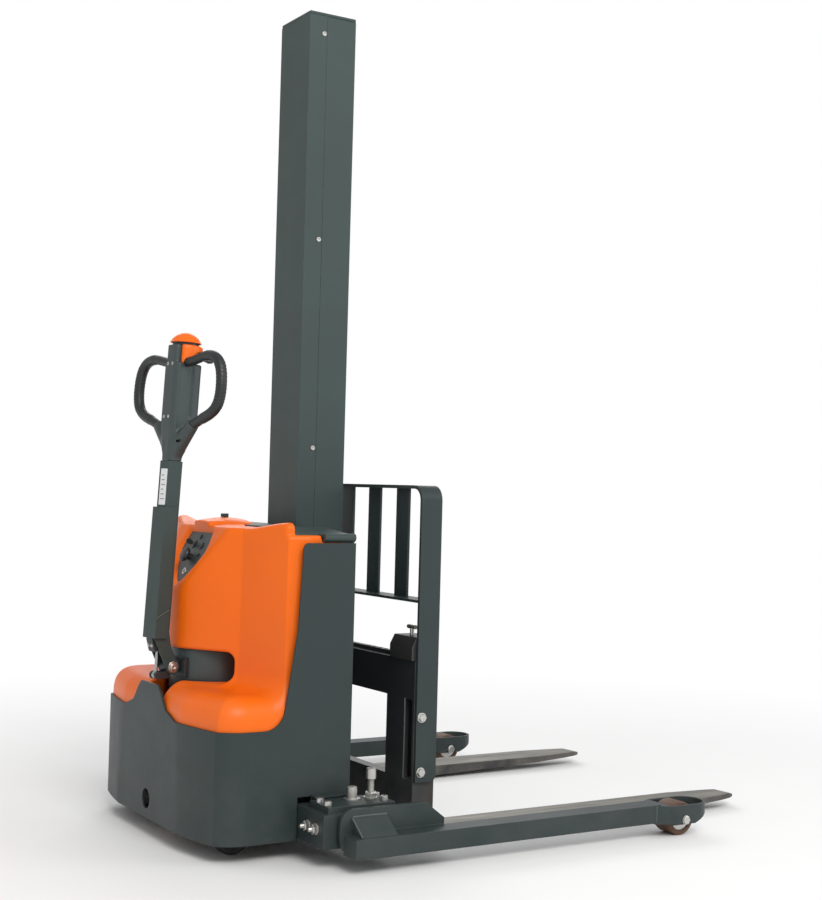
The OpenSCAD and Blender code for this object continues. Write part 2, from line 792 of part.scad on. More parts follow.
module leg(s) {
    plate = concat(arc([-54, 100], 30, 180, 90, 4), [[128, 130], [178, 92], [178, 42]],
        arc([162, 44], 14, 0, -90, 3), arc([-44, 70], 40, 270, 180, 4));
    color(PAINT) at_mast() side(s) {
        difference() {
            union() {
                block([rail_x0, 760], [rail_y0, rail_y1], [rail_bottom, rail_top]);
                plate_xz([plate_y0, rail_y0], plate);
                translate([-56, 0, 0]) plate_yz([0, 86],
                    [[rail_y0, rail_top], [rail_y1 - 6, rail_top], [rail_y0, 114]]);
                block([bar_x[0] + slide, bar_x[1] - slide], [150, plate_y0],
                    [bar_z[0] + slide, bar_z[1] - slide]);
                // Band around the load wheel, with a flared root
                translate([load_axle_x - 34, band_y, 30]) linear_extrude(46) band_plan(band_w / 2);
                translate([0, 0, 32]) linear_extrude(44)
                    polygon([[744, rail_y0], [load_axle_x - 39, band_y - band_w / 2],
                        [load_axle_x - 39, band_y + band_w / 2], [744, rail_y1]]);
            }
            block([rail_x0 + 5, 740], [rail_y0 + 5, rail_y1 - 5], [rail_bottom + 5, rail_top - 5]);
            translate([load_axle_x - 34, band_y, 0]) linear_extrude(100) difference() {
                band_plan(band_w / 2 - band_t);
                translate([-60, -60]) square([52, 120]);
            }
            block([load_axle_x - 42.5, load_axle_x - 30], [band_y - band_w / 2 + band_t,
                band_y + band_w / 2 - band_t], [0, 100]);
            plate_xz([400, 600], [[load_axle_x + 28, 29], [load_axle_x + 90, 29],
                [load_axle_x + 90, 56]]);
            rod_y(load_axle_x, [400, 600], load_wheel_d / 2, 8);
        }
    }
}
module leg_left() { leg(1); }
module leg_right() { leg(-1); }

module load_axle(s) {
    color(ZINC) at_mast() side(s) {
        rod_y(load_axle_x, [band_y - band_w / 2, band_y + band_w / 2], load_wheel_d / 2, 8);
        rod_y(load_axle_x, [band_y + band_w / 2, band_y + band_w / 2 + 5], load_wheel_d / 2, 11);
        rod_y(load_axle_x, [band_y - band_w / 2 - 5, band_y - band_w / 2], load_wheel_d / 2, 11);
    }
}
module load_axle_left() { load_axle(1); }
module load_axle_right() { load_axle(-1); }

module load_wheel(s) {
    color(ORANGE) at_mast() side(s)
        translate([load_axle_x, band_y, load_wheel_d / 2]) rotate([90, 0, 0]) rotate_extrude()
            polygon(concat([[8 + run, -load_wheel_w / 2], [load_wheel_d / 2 - 4, -load_wheel_w / 2]],
                [[load_wheel_d / 2, -load_wheel_w / 2 + 4], [load_wheel_d / 2, load_wheel_w / 2 - 4]],
                [[load_wheel_d / 2 - 4, load_wheel_w / 2], [8 + run, load_wheel_w / 2]]));
}
module load_wheel_left() { load_wheel(1); }
module load_wheel_right() { load_wheel(-1); }

// ---------- carriage ----------
module carriage_frame() {
    color(BLACK) at_mast() difference() {
        union() {
            block([bar_x0, bar_x1], [-carriage_y, carriage_y], upper_z);
            block([ridge_x, bar_x1], [-carriage_y, carriage_y], [upper_z[1], upper_z[1] + ridge_h]);
            block([bar_x0, bar_x1], [-carriage_y, carriage_y], lower_z);
            block([ridge_x, bar_x1], [-carriage_y, carriage_y], [lower_z[0] - ridge_h, lower_z[0]]);
            both() {
                block([bar_x0, bar_x0 + 12], [260, 340], [lower_z[1], upper_z[0]]);
                block([bar_x0, bar_x1], [carriage_y - 8, carriage_y], [lower_z[1], upper_z[0]]);
                // Webs that reach into the mast, with the roller stubs and chain anchors
                block([68, bar_x0], web_y, [150, 430]);
                block([bar_x0, bar_x0 + 12], web_y, [lower_z[1], upper_z[0]]);
                for (z = rollers_z) rod_y(roller_x, [web_y[1], guide_y + 26], z, 10);
                block([sheave_x + chain_r - 4, 76], [web_y[1], chain_y + 4], [162, 180]);
            }
        }
        // Notches for the fork pins
        for (i = [0:7]) both() rod_z(bar_x1 - 7, fork_y - 28 * i,
            [upper_z[1] + 2, upper_z[1] + ridge_h + over], 6);
        both() for (z = [173, 297]) rod_y(bar_x0 + 16, [carriage_y - 9, carriage_y + over], z, 6.5);
    }
}

module carriage_rollers(z) {
    color(ZINC) at_mast() both() difference() {
        rod_y(roller_x, [guide_y + 2, guide_y + 24], z, roller_r);
        rod_y(roller_x, [guide_y + 1, guide_y + 25], z, 10 + run);
    }
}
module carriage_rollers_upper() { carriage_rollers(rollers_z[1]); }
module carriage_rollers_lower() { carriage_rollers(rollers_z[0]); }

module backrest() {
    hy = backrest_w / 2;
    bend_r = 34;
    x0 = 160;
    bars = [0, 132, 264];
    color(PAINT) at_mast() difference() {
        union() {
            // Outer hoop of flat bar with rounded top corners
            plate_yz([x0, x0 + bar_w], concat([[-hy, 150]], arc([-hy + bend_r, backrest_top - bend_r],
                bend_r, 180, 90, 6), arc([hy - bend_r, backrest_top - bend_r], bend_r, 90, 0, 6),
                [[hy, 150]]));
        }
        plate_yz([x0 - over, x0 + bar_w + over], concat([[-hy + 8, 149]],
            arc([-hy + bend_r, backrest_top - bend_r], bend_r - 8, 180, 90, 6),
            arc([hy - bend_r, backrest_top - bend_r], bend_r - 8, 90, 0, 6), [[hy - 8, 149]]));
        both() {
            for (z = [173, 297]) rod_y(x0 + 14, [hy - 9, hy + over], z, 6.5);
            difference() {
                block([x0 + bar_w - 15, x0 + bar_w + over], [hy - 9, hy + over], [149, 165]);
                rod_y(x0 + bar_w - 15, [hy - 10, hy + 2], 165, 15);
            }
        }
    }
    color(PAINT) at_mast() {
        block([x0, x0 + bar_w], [-hy + 8, hy - 8], [557, 563]);
        both() for (y = bars) block([x0 + 24, x0 + 30], [max(y - 27.5, 0), y + 27.5],
            [563, backrest_top - 8]);
    }
}

module backrest_bolts() {
    hy = backrest_w / 2;
    color(ZINC) at_mast() both() for (z = [173, 297]) {
        rod_y(174, [hy - 26, hy], z, 6);
        rod_y(174, [hy, hy + 7], z, 10);
    }
}

// ---------- forks ----------
module fork(s) {
    y0 = fork_y - fork_w / 2;
    y1 = fork_y + fork_w / 2;
    xs = bar_x1 + 0.5;
    xf = xs + shank_t;
    zt = fork_z0 + fork_t;
    blade = concat([[xs, fork_z0 + 20]], arc([xs + 20, fork_z0 + 20], 20, 180, 270, 4),
        [[640, fork_z0], [fork_tip_x - 8, zt - 12], [fork_tip_x, zt - 7], [fork_tip_x - 30, zt]],
        [[xf + 14, zt]], arc([xf + 14, zt + 14], 14, 270, 180, 4), [[xf, hook_top], [xs, hook_top]]);
    tip = [[0, y0], [fork_tip_x - 180, y0], [fork_tip_x - 60, y0 + 14], [fork_tip_x - 28, y0 + 21],
        [fork_tip_x - 10, y0 + 30], [fork_tip_x - 2, y0 + 40], [fork_tip_x, fork_y - 4],
        [fork_tip_x, fork_y + 4], [fork_tip_x - 2, y1 - 40], [fork_tip_x - 10, y1 - 30],
        [fork_tip_x - 28, y1 - 21], [fork_tip_x - 60, y1 - 14], [fork_tip_x - 180, y1], [0, y1]];
    color(ZINC) at_mast() side(s) difference() {
        union() {
            intersection() {
                plate_xz([y0, y1], blade);
                linear_extrude(500) polygon(tip);
            }
            // Upper hook over the ridge of the top bar
            plate_xz([y0, y1], [[150, upper_z[1] + 0.5], [ridge_x - 0.5, upper_z[1] + 0.5],
                [ridge_x - 0.5, upper_z[1] + ridge_h + 0.5], [xs, upper_z[1] + ridge_h + 0.5],
                [xs + over, hook_top], [162, hook_top], [150, hook_top - 22]]);
            // Lower hook behind the ridge of the bottom bar
            plate_xz([y0, y1], [[162, 26], [xs + over, 26], [xs + over, lower_z[0] - ridge_h - 0.5],
                [ridge_x - 0.5, lower_z[0] - ridge_h - 0.5], [ridge_x - 0.5, lower_z[0] - 0.5],
                [162, lower_z[0] - 0.5]]);
        }
        rod_z(bar_x1 - 7, fork_y, [430, 480], 5 + run);
    }
}
module fork_left() { fork(1); }
module fork_right() { fork(-1); }

module fork_pin(s) {
    color(ZINC) at_mast() side(s) {
        rod_z(bar_x1 - 7, fork_y, [upper_z[1] + ridge_h + 0.8, hook_top + 18], 5);
        rod_y(bar_x1 - 7, [fork_y - 16, fork_y + 16], hook_top + 20, 5);
    }
}
module fork_pin_left() { fork_pin(1); }
module fork_pin_right() { fork_pin(-1); }

chassis_frame();
skirt_shell();
tower_cover();
top_cap();
control_panel();
charge_socket();
batteries();
hydraulic_unit();
power_electronics();
lift_cylinder();
mast_profile();
mast_rear_cover();
mast_cap();
mast_screws();
steer_bearing();
leg_clamps();
clamp_bolts();
drive_housing();
drive_motor();
motor_cover();
tiller_yoke();
drive_wheel();
tiller_arm();
tiller_cover();
tiller_pin();
head_body();
head_guard();
handle_grips();
belly_button();
throttle();
lift_rocker();
horn_button();
gas_spring_rod();
gas_spring_tube();
key_switch();
emergency_stop();
cover_knob();
caster_fork_left();
caster_fork_right();
caster_wheel_left();
caster_wheel_right();
leg_left();
leg_right();
load_wheel_left();
load_wheel_right();
load_axle_left();
load_axle_right();
carriage_frame();
backrest();
backrest_bolts();
carriage_rollers_upper();
carriage_rollers_lower();
fork_left();
fork_right();
fork_pin_left();
fork_pin_right();
cylinder_rod();
chain_sheave();
chain_front();
chain_rear();
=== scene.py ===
import math

import bpy
import bmesh
import numpy as np
from mathutils import Matrix, Vector


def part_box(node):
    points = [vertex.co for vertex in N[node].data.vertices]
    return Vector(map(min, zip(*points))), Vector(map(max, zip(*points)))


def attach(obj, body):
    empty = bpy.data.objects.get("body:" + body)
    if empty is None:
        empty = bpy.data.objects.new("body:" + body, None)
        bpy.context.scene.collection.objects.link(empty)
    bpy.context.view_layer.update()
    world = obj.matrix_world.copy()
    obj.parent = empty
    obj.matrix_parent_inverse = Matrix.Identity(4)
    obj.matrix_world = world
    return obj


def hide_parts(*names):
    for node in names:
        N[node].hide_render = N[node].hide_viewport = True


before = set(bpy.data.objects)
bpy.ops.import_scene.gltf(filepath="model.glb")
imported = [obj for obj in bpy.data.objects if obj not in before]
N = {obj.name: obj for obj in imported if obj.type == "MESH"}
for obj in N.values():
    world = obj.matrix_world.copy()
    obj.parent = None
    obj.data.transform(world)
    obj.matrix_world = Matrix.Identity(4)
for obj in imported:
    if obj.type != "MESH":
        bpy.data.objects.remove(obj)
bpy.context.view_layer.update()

# ---------------------------------------------------------------- frame
# Lengths are millimetres in the design's own frames unless a line says metres; MM turns them to metres.
# The mast's rear face is x = 0 of the design; its place in the row frame comes from the CAD.
X0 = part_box("mast_rear_cover")[0].x
MM = 0.001
TURN, LEAN = math.radians(10), math.radians(3.2)
STEER = Matrix.Translation((X0 - 0.169, 0, 0)) @ Matrix.Rotation(TURN, 4, "Z")
TILLER = STEER @ Matrix.Translation((-0.125, 0, 0.390)) @ Matrix.Rotation(LEAN, 4, "Y")
MAST = Matrix.Translation((X0, 0, 0))
# slanted control panel: X runs up the slope, Z out of it
PANEL = MAST @ Matrix.Translation((-0.246, 0, 0.640)) @ Matrix.Rotation(math.radians(-63.435), 4, "Y")
BOW = 1400  # radius of the bowed back
DOME = (-0.022, 0, 0)  # axis of the safety button in the tiller's frame, in metres
SIDES = ((1, "left"), (-1, "right"))


def at(x, y, z):
    return Vector((X0 + x * MM, y * MM, z * MM))


# ---------------------------------------------------------------- camera
cam = bpy.data.objects.new("camera", bpy.data.cameras.new("camera"))
bpy.context.scene.collection.objects.link(cam)
yaw, pitch, roll = math.radians(58.446), math.radians(1.487), math.radians(1.531)
fw = Vector((math.cos(yaw) * math.cos(pitch), math.sin(yaw) * math.cos(pitch), math.sin(pitch)))
right = Vector((math.sin(yaw), -math.cos(yaw), 0))
up = right.cross(fw)
r2 = right * math.cos(roll) + up * math.sin(roll)
u2 = up * math.cos(roll) - right * math.sin(roll)
m = Matrix((r2, u2, -fw)).transposed().to_4x4()
m.translation = at(-1618.86, -3231.57, 817.97)
cam.matrix_world = m
cam.data.lens = 58.86
cam.data.sensor_width = 36
cam.data.clip_start, cam.data.clip_end = 0.05, 60
bpy.context.scene.camera = cam


# ---------------------------------------------------------------- materials
def new_mat(name):
    mt = bpy.data.materials.new(name)
    mt.use_nodes = True
    nt = mt.node_tree
    nt.nodes.clear()
    out = nt.nodes.new("ShaderNodeOutputMaterial")
    bs = nt.nodes.new("ShaderNodeBsdfPrincipled")
    nt.links.new(bs.outputs[0], out.inputs[0])
    return mt, nt, bs


def noise(nt, scale, detail=3.0, rough=0.5, stretch=None, vec=None):
    tc = nt.nodes.new("ShaderNodeTexCoord")
    src = tc.outputs["Object"] if vec is None else vec
    if stretch:
        mp = nt.nodes.new("ShaderNodeMapping")
        mp.inputs["Scale"].default_value = stretch
        nt.links.new(src, mp.inputs["Vector"])
        src = mp.outputs[0]
    n = nt.nodes.new("ShaderNodeTexNoise")
    n.inputs["Scale"].default_value = scale
    n.inputs["Detail"].default_value = detail
    n.inputs["Roughness"].default_value = rough
    nt.links.new(src, n.inputs["Vector"])
    return n.outputs[0]


def ramp(nt, fac, a, b, ca=(0, 0, 0, 1), cb=(1, 1, 1, 1)):
    r = nt.nodes.new("ShaderNodeValToRGB")
    r.color_ramp.elements[0].position = a
    r.color_ramp.elements[0].color = ca
    r.color_ramp.elements[1].position = b
    r.color_ramp.elements[1].color = cb
    nt.links.new(fac, r.inputs[0])
    return r.outputs[0]


def mix(nt, fac, a, b):
    mx = nt.nodes.new("ShaderNodeMix")
    mx.data_type = "RGBA"
    for sock, v in ((mx.inputs[0], fac), (mx.inputs[6], a), (mx.inputs[7], b)):
        if isinstance(v, (int, float)):
            sock.default_value = v
        elif isinstance(v, (tuple, list)):
            sock.default_value = (*v[:3], 1)
        else:
            nt.links.new(v, sock)
    return mx.outputs[2]


def math_node(nt, op, a, b=None, clamp=False):
    n = nt.nodes.new("ShaderNodeMath")
    n.operation = op
    n.use_clamp = clamp
    for i, v in enumerate((a, b)):
        if v is None:
            continue
        if isinstance(v, (int, float)):
            n.inputs[i].default_value = v
        else:
            nt.links.new(v, n.inputs[i])
    return n.outputs[0]


def bump(nt, bs, height, dist, strength=0.6, normal=None):
    b = nt.nodes.new("ShaderNodeBump")
    b.inputs["Strength"].default_value = strength
    b.inputs["Distance"].default_value = dist
    nt.links.new(height, b.inputs["Height"])
    if normal is not None:
        nt.links.new(normal, b.inputs["Normal"])
    nt.links.new(b.outputs[0], bs.inputs["Normal"])


def edge_mask(nt, radius, lo=0.02, hi=0.20):
    """White along convex and concave edges, broken up by noise."""
    bv = nt.nodes.new("ShaderNodeBevel")
    bv.samples = 4
    bv.inputs["Radius"].default_value = radius
    geo = nt.nodes.new("ShaderNodeNewGeometry")
    dot = nt.nodes.new("ShaderNodeVectorMath")
    dot.operation = "DOT_PRODUCT"
    nt.links.new(bv.outputs[0], dot.inputs[0])
    nt.links.new(geo.outputs["Normal"], dot.inputs[1])
    inv = math_node(nt, "SUBTRACT", 1.0, dot.outputs["Value"])
    e = ramp(nt, inv, lo, hi)
    n = ramp(nt, noise(nt, 60, 5, 0.7), 0.42, 0.62)
    return math_node(nt, "MULTIPLY", e, n, True), bv.outputs[0]


def dusty(nt, base, dust, z0, z1, amount):
    """Dust that gathers low down, between two heights in metres."""
    tc = nt.nodes.new("ShaderNodeTexCoord")
    sp = nt.nodes.new("ShaderNodeSeparateXYZ")
    nt.links.new(tc.outputs["Object"], sp.inputs[0])
    mr = nt.nodes.new("ShaderNodeMapRange")
    mr.inputs["From Min"].default_value = z0
    mr.inputs["From Max"].default_value = z1
    mr.inputs["To Min"].default_value = amount
    mr.inputs["To Max"].default_value = 0
    nt.links.new(sp.outputs[2], mr.inputs[0])
    f = math_node(nt, "MULTIPLY", mr.outputs[0], ramp(nt, noise(nt, 9, 6, 0.65), 0.35, 0.7), True)
    return mix(nt, f, base, dust)


def paint(name, col, rough=0.42, edge=(0.30, 0.33, 0.32), wear=0.5, dust=0.25, grain=900, peel=0.00006,
          spec=0.5, coat=0.0):
    mt, nt, bs = new_mat(name)
    big = ramp(nt, noise(nt, 3.2, 4, 0.6), 0.3, 0.7)
    c = mix(nt, big, [v * 0.90 for v in col], [min(1, v * 1.10) for v in col])
    scuff = ramp(nt, noise(nt, 26, 8, 0.72, (1, 1, 0.35)), 0.66, 0.74)
    c = mix(nt, math_node(nt, "MULTIPLY", scuff, 0.10), c, [v * 1.5 + 0.02 for v in col])
    e, nrm = edge_mask(nt, 0.0025)
    c = mix(nt, math_node(nt, "MULTIPLY", e, wear), c, edge)
    if dust:
        c = dusty(nt, c, (0.33, 0.30, 0.26), 0.0, 0.35, dust)
    nt.links.new(c, bs.inputs["Base Color"])
    rr = nt.nodes.new("ShaderNodeMapRange")
    rr.inputs["To Min"].default_value = rough - 0.06
    rr.inputs["To Max"].default_value = rough + 0.10
    nt.links.new(noise(nt, 14, 5, 0.6), rr.inputs[0])
    nt.links.new(rr.outputs[0], bs.inputs["Roughness"])
    bs.inputs["Specular IOR Level"].default_value = spec
    bs.inputs["Coat Weight"].default_value = coat
    bs.inputs["Coat Roughness"].default_value = 0.15
    bump(nt, bs, noise(nt, grain, 2, 0.5), peel, 0.5, nrm)
    return mt


def plastic(name, col, rough=0.38, grain=1400, peel=0.00005, var=0.06, coat=0.0, dust=0.0, spec=0.5):
    mt, nt, bs = new_mat(name)
    big = ramp(nt, noise(nt, 4, 4, 0.55), 0.3, 0.7)
    c = mix(nt, big, [v * (1 - var) for v in col], [min(1, v * (1 + var)) for v in col])
    fine = ramp(nt, noise(nt, 55, 8, 0.75, (1, 1, 0.5)), 0.64, 0.72)
    c = mix(nt, math_node(nt, "MULTIPLY", fine, 0.08), c, [min(1, v * 1.4 + 0.05) for v in col])
    if dust:
        c = dusty(nt, c, (0.45, 0.36, 0.28), 0.2, 0.5, dust)
    nt.links.new(c, bs.inputs["Base Color"])
    rr = nt.nodes.new("ShaderNodeMapRange")
    rr.inputs["To Min"].default_value = rough - 0.05
    rr.inputs["To Max"].default_value = rough + 0.09
    nt.links.new(noise(nt, 22, 6, 0.65), rr.inputs[0])
    nt.links.new(rr.outputs[0], bs.inputs["Roughness"])
    bs.inputs["Specular IOR Level"].default_value = spec
    bs.inputs["Coat Weight"].default_value = coat
    bs.inputs["Coat Roughness"].default_value = 0.2
    bump(nt, bs, noise(nt, grain, 2, 0.5), peel, 0.5)
    return mt


def metal(name, col, rough=0.3, stretch=(1, 1, 1), scale=240, peel=0.00004, tarnish=(0.25, 0.22, 0.18), amount=0.25):
    mt, nt, bs = new_mat(name)
    st = noise(nt, scale, 4, 0.6, stretch)
    c = mix(nt, ramp(nt, st, 0.3, 0.7), [v * 0.82 for v in col], col)
    t = ramp(nt, noise(nt, 30, 6, 0.7), 0.55, 0.75)
    c = mix(nt, math_node(nt, "MULTIPLY", t, amount), c, tarnish)
    nt.links.new(c, bs.inputs["Base Color"])
    bs.inputs["Metallic"].default_value = 1.0
    rr = nt.nodes.new("ShaderNodeMapRange")
    rr.inputs["To Min"].default_value = rough - 0.08
    rr.inputs["To Max"].default_value = rough + 0.14
    nt.links.new(st, rr.inputs[0])
    nt.links.new(rr.outputs[0], bs.inputs["Roughness"])
    bump(nt, bs, st, peel, 0.4)
    return mt


def worn_top(name, paint_col, steel, z0, z1, rough=0.45):
    """Black paint whose upward faces are worn to scratched steel."""
    mt, nt, bs = new_mat(name)
    geo = nt.nodes.new("ShaderNodeNewGeometry")
    sp = nt.nodes.new("ShaderNodeSeparateXYZ")
    nt.links.new(geo.outputs["Normal"], sp.inputs[0])
    upf = ramp(nt, sp.outputs[2], 0.55, 0.9)
    tc = nt.nodes.new("ShaderNodeTexCoord")
    s2 = nt.nodes.new("ShaderNodeSeparateXYZ")
    nt.links.new(tc.outputs["Object"], s2.inputs[0])
    mr = nt.nodes.new("ShaderNodeMapRange")
    mr.inputs["From Min"].default_value = z0
    mr.inputs["From Max"].default_value = z1
    mr.inputs["To Min"].default_value = 1
    mr.inputs["To Max"].default_value = 0
    nt.links.new(s2.outputs[2], mr.inputs[0])
    streak = ramp(nt, noise(nt, 34, 8, 0.72, (0.12, 1, 1)), 0.30, 0.62)
    w = math_node(nt, "MULTIPLY", math_node(nt, "MULTIPLY", upf, mr.outputs[0]), streak, True)
    e, nrm = edge_mask(nt, 0.003)
    w = math_node(nt, "MAXIMUM", w, math_node(nt, "MULTIPLY", e, 0.8))
    big = ramp(nt, noise(nt, 4, 4, 0.6), 0.3, 0.7)
    pc = mix(nt, big, [v * 0.85 for v in paint_col], [v * 1.2 for v in paint_col])
    pc = dusty(nt, pc, (0.30, 0.27, 0.23), 0.0, 0.2, 0.35)
    sc = mix(nt, ramp(nt, noise(nt, 160, 6, 0.7, (0.05, 1, 1)), 0.35, 0.65), [v * 0.7 for v in steel], steel)
    nt.links.new(mix(nt, w, pc, sc), bs.inputs["Base Color"])
    nt.links.new(math_node(nt, "MULTIPLY", w, 0.75), bs.inputs["Metallic"])
    rr = nt.nodes.new("ShaderNodeMapRange")
    rr.inputs["To Min"].default_value = rough - 0.08
    rr.inputs["To Max"].default_value = rough + 0.12
    nt.links.new(noise(nt, 90, 5, 0.7, (0.1, 1, 1)), rr.inputs[0])
    nt.links.new(rr.outputs[0], bs.inputs["Roughness"])
    bump(nt, bs, noise(nt, 300, 4, 0.6, (0.1, 1, 1)), 0.0001, 0.5, nrm)
    return mt


GREEN = (0.030, 0.049, 0.046)
MAT = {
    "frame_paint": paint("paint_green", GREEN, 0.46, (0.13, 0.15, 0.145), 0.45, 0.05, spec=0.4),
    # painted shade: the same green paint darkened for the skirt, chassis, clamps, legs and backrest, which sit in shade
    "shaded_green_paint": paint("paint_green_painted_shade", (0.019, 0.031, 0.031), 0.46, (0.10, 0.12, 0.12), 0.45, 0.07, spec=0.4),
    "cover_orange": plastic("moulded_orange", (0.82, 0.135, 0.002), 0.38, 1500, 0.00005, 0.05, 0.0, 0.06, 0.28),
    "carriage_paint": paint("paint_black", (0.018, 0.021, 0.024), 0.42, (0.12, 0.12, 0.12), 0.6, 0.2),
    "dark_plastic": plastic("dark_plastic", (0.036, 0.050, 0.050), 0.40, 1800, 0.00008, 0.10),
    "grip_rubber": plastic("grip_rubber", (0.012, 0.014, 0.015), 0.42, 700, 0.00016, 0.12),
    "button_black": plastic("button_black", (0.016, 0.017, 0.019), 0.36, 1600, 0.00005, 0.10),
    "button_orange": plastic("button_orange", (0.82, 0.135, 0.002), 0.36, 1500, 0.00005, 0.06, 0.0, 0.0, 0.35),
    "zinc": metal("zinc", (0.62, 0.61, 0.58), 0.34, (1, 1, 1), 260, 0.00005, (0.28, 0.25, 0.20), 0.3),
    "chrome_rod": metal("chrome_rod", (0.42, 0.42, 0.43), 0.2, (1, 1, 8), 300, 0.00001, (0.4, 0.4, 0.4), 0.1),
    "fork_paint": worn_top("fork_paint", (0.022, 0.022, 0.022), (0.30, 0.285, 0.25), 0.06, 0.10),
    "drive_iron": paint("drive_iron", (0.055, 0.058, 0.062), 0.55, (0.2, 0.19, 0.18), 0.5, 0.4, 260, 0.0003),
    "drive_tread": plastic("drive_tread", (0.42, 0.13, 0.03), 0.55, 420, 0.0003, 0.15, 0.0, 0.0),
    "load_tread": plastic("load_tread", (0.095, 0.046, 0.024), 0.55, 500, 0.0003, 0.22, 0.0, 0.0),
    "caster_tread": plastic("caster_tread", (0.030, 0.029, 0.028), 0.62, 420, 0.0003, 0.2, 0.0, 0.0),
    "battery_case": plastic("battery_case", (0.025, 0.026, 0.028), 0.5, 900, 0.0001, 0.1),
    "unit_grey": paint("unit_grey", (0.12, 0.125, 0.13), 0.45, (0.3, 0.3, 0.3), 0.4, 0.2),
    "heatsink": metal("heatsink", (0.56, 0.57, 0.58), 0.38, (1, 1, 6), 200, 0.00005, (0.3, 0.3, 0.3), 0.2),
    "chain_steel": metal("chain_steel", (0.17, 0.155, 0.14), 0.45, (1, 1, 0.4), 300, 0.0002, (0.08, 0.06, 0.05), 0.5),
}
LABEL = plastic("label_white", (0.72, 0.73, 0.73), 0.45, 500, 0.00003, 0.04)
WELD = paint("weld_paint", (0.075, 0.092, 0.088), 0.40, (0.22, 0.24, 0.23), 0.6, 0.0, 380, 0.0004)
TRIM = plastic("label_grey", (0.18, 0.19, 0.20), 0.5, 500, 0.00003, 0.04)


# ---------------------------------------------------------------- helpers
def link(name, part, slot, body, smooth=40, bevel=0.0, mat=None, matrix=None, node=None):
    """A piece from (vertices, faces) in metres: its finish, its body and the CAD node it stands for."""
    verts, faces = part
    me = bpy.data.meshes.new(name)
    me.from_pydata([tuple(v) for v in verts], [], [tuple(f) for f in faces])
    me.validate()
    ob = bpy.data.objects.new(name, me)
    bpy.context.scene.collection.objects.link(ob)
    if matrix is not None:
        me.transform(matrix)
    bm = bmesh.new()
    bm.from_mesh(me)
    bmesh.ops.recalc_face_normals(bm, faces=bm.faces)
    bm.to_mesh(me)
    bm.free()
    if bevel:
        add_bevel(ob, bevel)
    shade(ob, smooth)
    me.materials.append(mat or MAT[slot])
    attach(ob, body)
    if node:
        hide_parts(node)
    return ob


def shade(ob, angle):
    ob.data.polygons.foreach_set("use_smooth", [True] * len(ob.data.polygons))
    ob.data.set_sharp_from_angle(angle=math.radians(angle))


def add_bevel(ob, width):
    b = ob.modifiers.new("bevel", "BEVEL")
    b.width = width
    b.segments = 2
    b.limit_method = "ANGLE"
    b.angle_limit = math.radians(32)
    b.use_clamp_overlap = True
    b.harden_normals = False
    b.miter_outer = "MITER_ARC"


def dress(node, slot, width, flat):
    """A CAD node that keeps its shape: its edges are eased and it gets its finish.
    flat first merges the long triangles of its plane faces, which would shade unevenly."""
    ob = N[node]
    w = ob.modifiers.new("weld", "WELD")
    w.merge_threshold = 0.00002
    if flat:
        d = ob.modifiers.new("flat", "DECIMATE")
        d.decimate_type = "DISSOLVE"
        d.angle_limit = math.radians(0.5)
    add_bevel(ob, width)
    me = ob.data
    me.polygons.foreach_set("use_smooth", [True] * len(me.polygons))
    if not len(me.materials):
        me.materials.append(MAT[slot])
    for i in range(len(me.materials)):
        me.materials[i] = MAT[slot]
    wn = ob.modifiers.new("normals", "WEIGHTED_NORMAL")
    wn.keep_sharp = False
    wn.weight = 60


def sweep(points, radii, sides=20):
    """Tube through points, with a radius at each."""
    P = [Vector(p) for p in points]
    verts, faces = [], []
    ref = Vector((1, 0, 0))
    for i, p in enumerate(P):
        d = (P[min(i + 1, len(P) - 1)] - P[max(i - 1, 0)]).normalized()
        a = (ref - d * ref.dot(d)).normalized()
        b = d.cross(a)
        ref = a
        for k in range(sides):
            t = 2 * math.pi * k / sides
            verts.append(p + (a * math.cos(t) + b * math.sin(t)) * radii[i])
    for i in range(len(P) - 1):
        for k in range(sides):
            j = (k + 1) % sides
            faces.append((i * sides + k, i * sides + j, (i + 1) * sides + j, (i + 1) * sides + k))
    faces.append(tuple(range(sides)))
    faces.append(tuple(range((len(P) - 1) * sides, len(P) * sides)))
    return verts, faces


def smooth_path(pts, n):
    """Catmull-Rom through pts, n steps per span."""
    out = []
    P = [Vector(p) for p in pts]
    P = [2 * P[0] - P[1]] + P + [2 * P[-1] - P[-2]]
    for i in range(1, len(P) - 2):
        for k in range(n):
            t = k / n
            a, b, c, d = P[i - 1], P[i], P[i + 1], P[i + 2]
            out.append(0.5 * (2 * b + (c - a) * t + (2 * a - 5 * b + 4 * c - d) * t * t
                              + (3 * b - a - 3 * c + d) * t ** 3))
    out.append(P[-2])
    return out


def revolve(profile, sides=48, closed=False):
    """profile: (radius, height) pairs in millimetres, turned about local Z."""
    verts, faces = [], []
    n = len(profile)
    for k in range(sides):
        t = 2 * math.pi * k / sides
        for r, h in profile:
            verts.append(Vector((r * math.cos(t), r * math.sin(t), h)) * MM)
    for k in range(sides):
        j = (k + 1) % sides
        for i in range(n if closed else n - 1):
            i2 = (i + 1) % n
            faces.append((k * n + i, j * n + i, j * n + i2, k * n + i2))
    if not closed:
        for i in (0, n - 1):
            if profile[i][0] > 0:
                faces.append(tuple(k * n + i for k in range(sides)))
    return verts, faces


def axis_matrix(origin, axis):
    q = Vector((0, 0, 1)).rotation_difference(Vector(axis))
    return Matrix.Translation(origin) @ q.to_matrix().to_4x4()


def join(parts):
    verts, faces = [], []
    for v, f in parts:
        o = len(verts)
        verts += [Vector(p) for p in v]
        faces += [tuple(i + o for i in g) for g in f]
    return verts, faces


def moved(part, matrix):
    return [matrix @ Vector(v) for v in part[0]], part[1]


def placed(part, origin, axis):
    """Part with its Z along axis and its origin at a point in metres."""
    return moved(part, axis_matrix(origin, axis))


